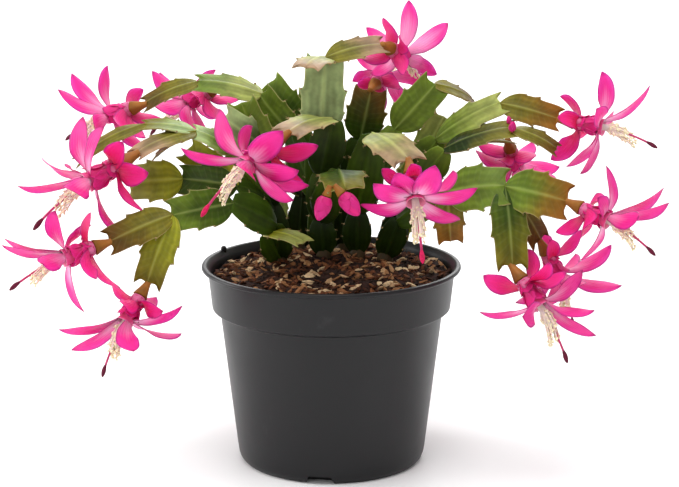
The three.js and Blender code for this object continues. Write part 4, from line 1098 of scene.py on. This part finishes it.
def make_stem(crown, tufts):
    """One crown: its foot, segments, and the cups under its blooms and buds, then its areoles."""
    root, segments = CROWNS[crown]
    skin, areoles = Skin(), []
    ground = float(soil_top(*root))
    foot = smooth_curve([(ROOT_RADIUS, SOIL_LEVEL - ROOT_DEPTH), (ROOT_RADIUS, ground - 1),
                         (3.6, ground + STUB_RISE), (2.2, ground + STUB_RISE + 3)], 12)
    points, faces = lathe(foot, 16, lobes=5, depth=0.06)
    skin.add(points + [*root, 0], faces, foot_tone=tone("woody"), tip_tone=tone("woody"), along=0.2, across=0.5,
             vein=0.0, young=0.0)
    for name, *_ in segments:
        add_segment(skin, name, areoles)
    for _, bearer, pointing, size, _, _ in BLOOMS:
        if SEGMENTS[bearer]["crown"] == crown:
            add_cup(skin, placing(SEGMENTS[bearer]["end"], pointing, size), BLOOM_CUP)
    for bud in BUDS:
        if SEGMENTS[bud[1]]["crown"] == crown:
            add_cup(skin, bud_place(bud), BUD_CUP)
    body = skin.mesh(crown + "_body", [STEM])
    spots = bpy.data.meshes.new(crown + "_areoles")
    spots.from_pydata([tuple(spot * MM) for spot, _ in areoles], [], [])
    ways = spots.attributes.new("way", "FLOAT_VECTOR", "POINT")
    ways.data.foreach_set("vector", np.array([way for _, way in areoles], np.float32).ravel())
    dots = grown(linked(crown + "_areoles", spots), tufts, Seed=len(areoles))
    with bpy.context.temp_override(active_object=body, selected_editable_objects=[body, dots]):
        bpy.ops.object.join()
    body.name = body.data.name = crown + "_skin"
    return body


def add_cup(skin, place, profile):
    """The small green cup that a bloom or bud sits in."""
    skin.add_lathe(smooth_curve(profile, 14), 20, 5, 0.05, place, foot_tone=tone("cup"), tip_tone=tone("orange"),
                   along=np.append(np.linspace(0, 1, 14), [0, 1]), across=0.5, vein=0.0, young=1.0)


def bud_place(bud):
    _, segment, step, pointing, length = bud
    along, side, _, _ = SEGMENTS[segment]["frame"]
    origin = SEGMENTS[segment]["end"] + side * step - along * BUD_SET_BACK
    return placing(origin, pointing, length / BUD_LENGTH)


def make_bud(bud):
    """A closed bud: a core wrapped in overlapping scales."""
    place = bud_place(bud)
    skin = Skin()
    core = smooth_curve([(2.8, 4.3), (4.3, 6.5), (4.9, 9.5), (4.6, 13), (3.3, 16.5), (1.5, 19), (0.15, 19.9)], 18)
    skin.add_lathe(core, 24, 3, 0.03, place, along=np.append(np.linspace(0.2, 1, 18), [0, 1]), across=0.5,
                   inside=0.0, deep=0.7)
    t, q = np.linspace(0, 1, 12), np.linspace(-1, 1, 9)
    spread = np.interp(t, [0, 0.35, 0.7, 0.92, 1], [0.95, 1.05, 0.85, 0.4, 0.04])
    for k in range(9):
        tier = k // 3
        low = core[0, 1] + tier * 0.8
        z = low + ((9.5, 14.5, 19.6)[tier] - low) * t
        radius = np.interp(z, core[:, 1], core[:, 0]) + 0.16 + 0.12 * (2 - tier)
        around = k * GOLDEN_ANGLE + np.outer(spread, q)
        grids = []
        for lift in (0.16, -0.1):
            body = radius[:, None] + lift * (1 - 0.7 * q ** 2)
            grids.append(np.stack([body * np.cos(around), body * np.sin(around), z[:, None] + 0 * q], 2))
        skin.add_blade(grids, place, along=0.3 + 0.65 * t[:, None] + 0 * q, inside=0.0,
                       across=SOFT_MARGIN * np.abs(q) + 0 * t[:, None], deep=0.95 - 0.25 * tier)
    return skin.mesh(bud[0] + "_scales", [PETAL])


def make_flower(bloom):
    name, bearer, pointing, size, stigma, petals = bloom
    draw = random.Random(name)
    place = placing(SEGMENTS[bearer]["end"], pointing, size)
    skin = Skin()
    add_tube(skin, place)
    add_scales(skin, place, draw)
    add_petals(skin, petals, place, draw)
    add_style(skin, place)
    return skin.mesh(name + "_flower", [PETAL, STYLE_SKIN, STIGMAS[stigma]])


def make_stamens(bloom, sheaf):
    name, bearer, pointing, size, _, _ = bloom
    lines = filament_lines(placing(SEGMENTS[bearer]["end"], pointing, size), random.Random(name + "stamens"))
    count = len(lines[0])
    edges = [(k * count + i, k * count + i + 1) for k in range(len(lines)) for i in range(count - 1)]
    mesh = bpy.data.meshes.new(name + "_pollen")
    mesh.from_pydata((np.concatenate(lines) * MM).tolist(), edges, [])
    return grown(linked(name + "_pollen", mesh), sheaf, Seed=len(name))


# ------------------------------------------------------------------ pot and soil


BOX_FACES = [(0, 2, 3, 1), (4, 5, 7, 6), (0, 1, 5, 4), (2, 6, 7, 3), (0, 4, 6, 2), (1, 3, 7, 5)]


def box_piece(name, size, centre, turn, rounding=0.0, taper=1.0):
    """A box turned about the pot's axis, with a narrower top and rounded edges if wanted."""
    w, d, h = (s / 2 * MM for s in size)
    mesh = bpy.data.meshes.new(name)
    corners = [(x * (taper if z > 0 else 1), y, z) for z in (-h, h) for y in (-d, d) for x in (-w, w)]
    mesh.from_pydata(corners, [], BOX_FACES)
    mesh.transform(Matrix.Rotation(math.radians(turn), 4, "Z") @ Matrix.Translation(Vector(centre) * MM))
    piece = linked(name, mesh)
    if rounding:
        bevel = piece.modifiers.new("rounding", "BEVEL")
        bevel.width = rounding * MM
        bevel.segments = 3
    return piece


def turned_solid(name, profile, swell=0.0):
    """A closed solid turned from a profile in spans, a little larger all round if wanted."""
    spans = []
    for keys in profile:
        curve = smooth_curve(keys, 2 if len(keys) == 2 else 3 * len(keys))
        spans.append(curve if not spans else curve[1:])
    outline = np.concatenate(spans)
    outline = outline[outline[:, 0] > 0.01]
    outline[:, 1] += np.where(outline[:, 1] < POT_RIM / 2, -swell, swell)
    outline[:, 0] += swell
    skin = Skin()
    skin.add(*lathe(outline, POT_SIDES))
    return skin.mesh(name, [POT])


def make_pot():
    """The pot turned from its profile, with its foot notches, their pockets and drain holes."""
    pot = turned_solid("pot_shell", POT_PROFILE)
    outside = turned_solid("pot_outside", [*POT_PROFILE[:6], [(63.8, POT_RIM), (50, POT_RIM)]], 0.02)
    reach = NOTCH["outer"] - NOTCH["inner"]
    middle = -(NOTCH["inner"] + reach / 2)
    tall, wide = NOTCH["height"] + NOTCH["roof"], NOTCH["width"] + 2 * NOTCH["wall"]
    cut = reach + NOTCH["past"]
    pockets, cuts = [], []
    for k in range(NOTCH["count"]):
        turn = NOTCH["turn"] + k * 360 / NOTCH["count"]
        pocket = box_piece("pocket", (wide, reach, tall - 2 * POCKET_LIFT), (0, middle, tall / 2 + POCKET_LIFT), turn)
        opening = box_piece("notch", (NOTCH["width"] * NOTCH["flare"], cut, NOTCH["height"] * 2),
                            (0, -(NOTCH["inner"] + NOTCH["wall"] + cut / 2), 0), turn,
                            NOTCH["rounding"], NOTCH["taper"])
        drain = box_piece("drain", DRAIN, (0, middle + 0.5, tall), turn)
        pockets.append((pocket, "UNION"))
        cuts += [(opening, "DIFFERENCE"), (drain, "DIFFERENCE")]
    steps = [*pockets, (outside, "INTERSECT"), *cuts, (rim_nub(), "UNION")]
    for tool, operation in steps:
        modifier = pot.modifiers.new(tool.name, "BOOLEAN")
        modifier.object = tool
        modifier.operation = operation
        modifier.solver = "EXACT"
    applied(pot)
    for tool, _ in steps:
        bpy.data.objects.remove(tool)
    pot.data.materials.clear()
    pot.data.materials.append(POT)
    pot.data.polygons.foreach_set("material_index", [0] * len(pot.data.polygons))
    pot.data.shade_smooth()
    pot.data.set_sharp_from_angle(angle=math.radians(38))
    return pot


def rim_nub():
    """The small moulding pip on the back left of the rim."""
    turn = math.radians(NUB["turn"])
    points, faces = lathe(smooth_curve([(1.5, -1.5), (1.5, 0.6), (1.2, 1.5), (0.6, 2.0)], 8), 14)
    skin = Skin()
    skin.add(points + [NUB["radius"] * math.sin(turn), -NUB["radius"] * math.cos(turn), POT_RIM], faces)
    return skin.mesh("rim_nub", [])


def make_soil():
    """The mix: it fills the pot, with a lumpy top that falls a little at the wall."""
    draw = random.Random(4)
    waves = [(draw.uniform(0.05, 0.22), draw.uniform(0, 6.28), draw.uniform(0, 6.28), draw.uniform(0.15, 0.5))
             for _ in range(14)]
    angles = np.linspace(0, 2 * math.pi, 96, endpoint=False)

    def top(x, y):
        z = soil_top(x, y)
        for pitch, way, phase, size in waves:
            z = z + size * np.sin(pitch * (x * math.cos(way) + y * math.sin(way)) * 2 + phase)
        return z

    rings = [ring_of(r, angles, z) for r, z in SOIL_WALL]
    reach = SOIL_EDGE - SOIL_ROLL
    for k in range(SOIL_RINGS):
        r = reach * (1 - k / SOIL_RINGS)
        ring = ring_of(r, angles, 0)
        ring[:, 2] = top(ring[:, 0], ring[:, 1]) - SOIL_ROLL * math.exp((r - reach) / 1.6)
        rings.append(ring)
    skin = Skin()
    skin.add(*stacked(rings, (0, 0, SOIL_WALL[0][1]), (0, 0, top(0.0, 0.0))))
    return skin.mesh("potting_mix", [SOIL])


def chip_collection():
    """A few bark chip shapes at full size, for the scatter to pick from."""
    kinds = bpy.data.collections.new("chip_kinds")
    draw = random.Random(21)
    sides = 6
    for k in range(7):
        length, width, depth = draw.uniform(3.5, 8), draw.uniform(2, 4), draw.uniform(0.9, 2.2)
        rings = []
        for share, size in ((-1, 0.35), (-0.6, 0.9), (0, 1.0), (0.6, 0.85), (1, 0.3)):
            for i in range(sides):
                a = 2 * math.pi * i / sides
                jag = draw.uniform(0.75, 1.2)
                rings.append((share * length / 2 + draw.uniform(-0.5, 0.5), math.cos(a) * width / 2 * size * jag,
                              math.sin(a) * depth / 2 * size * jag))
        faces = grid_faces(5, sides, closed=True)
        faces += [tuple(range(sides)), tuple(reversed(range(4 * sides, 5 * sides)))]
        skin = Skin()
        skin.add(np.array(rings), faces)
        piece = skin.mesh(f"chip_{k}", [BARK])
        piece.data.shade_flat()
        bpy.context.scene.collection.objects.unlink(piece)
        kinds.objects.link(piece)
    return kinds


def make_mulch(soil):
    """Bark chips over the whole top of the mix."""
    kinds = chip_collection()
    mulch = grown(linked("bark_mulch", soil.data.copy()), chip_tree(kinds))
    for piece in list(kinds.objects):
        bpy.data.objects.remove(piece)
    bpy.data.collections.remove(kinds)
    return mulch


# ------------------------------------------------------------------ stage


def make_stage():
    """A pale paper floor, soft lights, and the camera."""
    mesh = bpy.data.meshes.new("floor")
    corners = [(x * FLOOR_HALF, y * FLOOR_HALF, 0) for x, y in ((-1, -1), (1, -1), (1, 1), (-1, 1))]
    mesh.from_pydata(corners, [], [(0, 1, 2, 3)])
    mesh.materials.append(plain_look("floor_paper", 0.9, "fafafa", (2.0, 0.004), Specular_IOR_Level=0.1))
    floor = linked("floor", mesh)
    for name, place, aim, size, power in LIGHTS:
        data = bpy.data.lights.new(name, "AREA")
        data.shape = "DISK"
        data.size = size
        data.energy = power
        light = linked(name, data)
        light.location = place
        light.rotation_euler = (Vector(aim) - Vector(place)).to_track_quat("-Z", "Y").to_euler()
    world = bpy.data.worlds.new("studio")
    world.use_nodes = True
    background = world.node_tree.nodes["Background"].inputs
    background["Color"].default_value = (1, 1, 1, 1)
    background["Strength"].default_value = 0.7
    bpy.context.scene.world = world
    bpy.context.scene.view_settings.view_transform = "Standard"
    data = bpy.data.cameras.new("camera")
    data.lens = 108.9
    data.sensor_width = 36
    camera = linked("camera", data)
    camera.location = (0.0041, -1.0028, 0.3407)
    camera.rotation_euler = (math.radians(77.1), 0, 0)
    bpy.context.scene.camera = camera


# ------------------------------------------------------------------ assembly

make_stage()
tufts, sheaf = tuft_tree(), stamen_tree()
for crown in CROWNS:
    finish_piece(make_stem(crown, tufts), [crown])
for bloom in BLOOMS:
    finish_piece(make_flower(bloom), [bloom[0] + "_petals"])
    finish_piece(make_stamens(bloom, sheaf), [bloom[0] + "_stamens"])
for bud in BUDS:
    finish_piece(make_bud(bud), [bud[0]])
finish_piece(make_pot(), ["pot"])
soil = make_soil()
mulch = make_mulch(soil)
finish_piece(soil, ["soil"])
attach(mulch, "root")
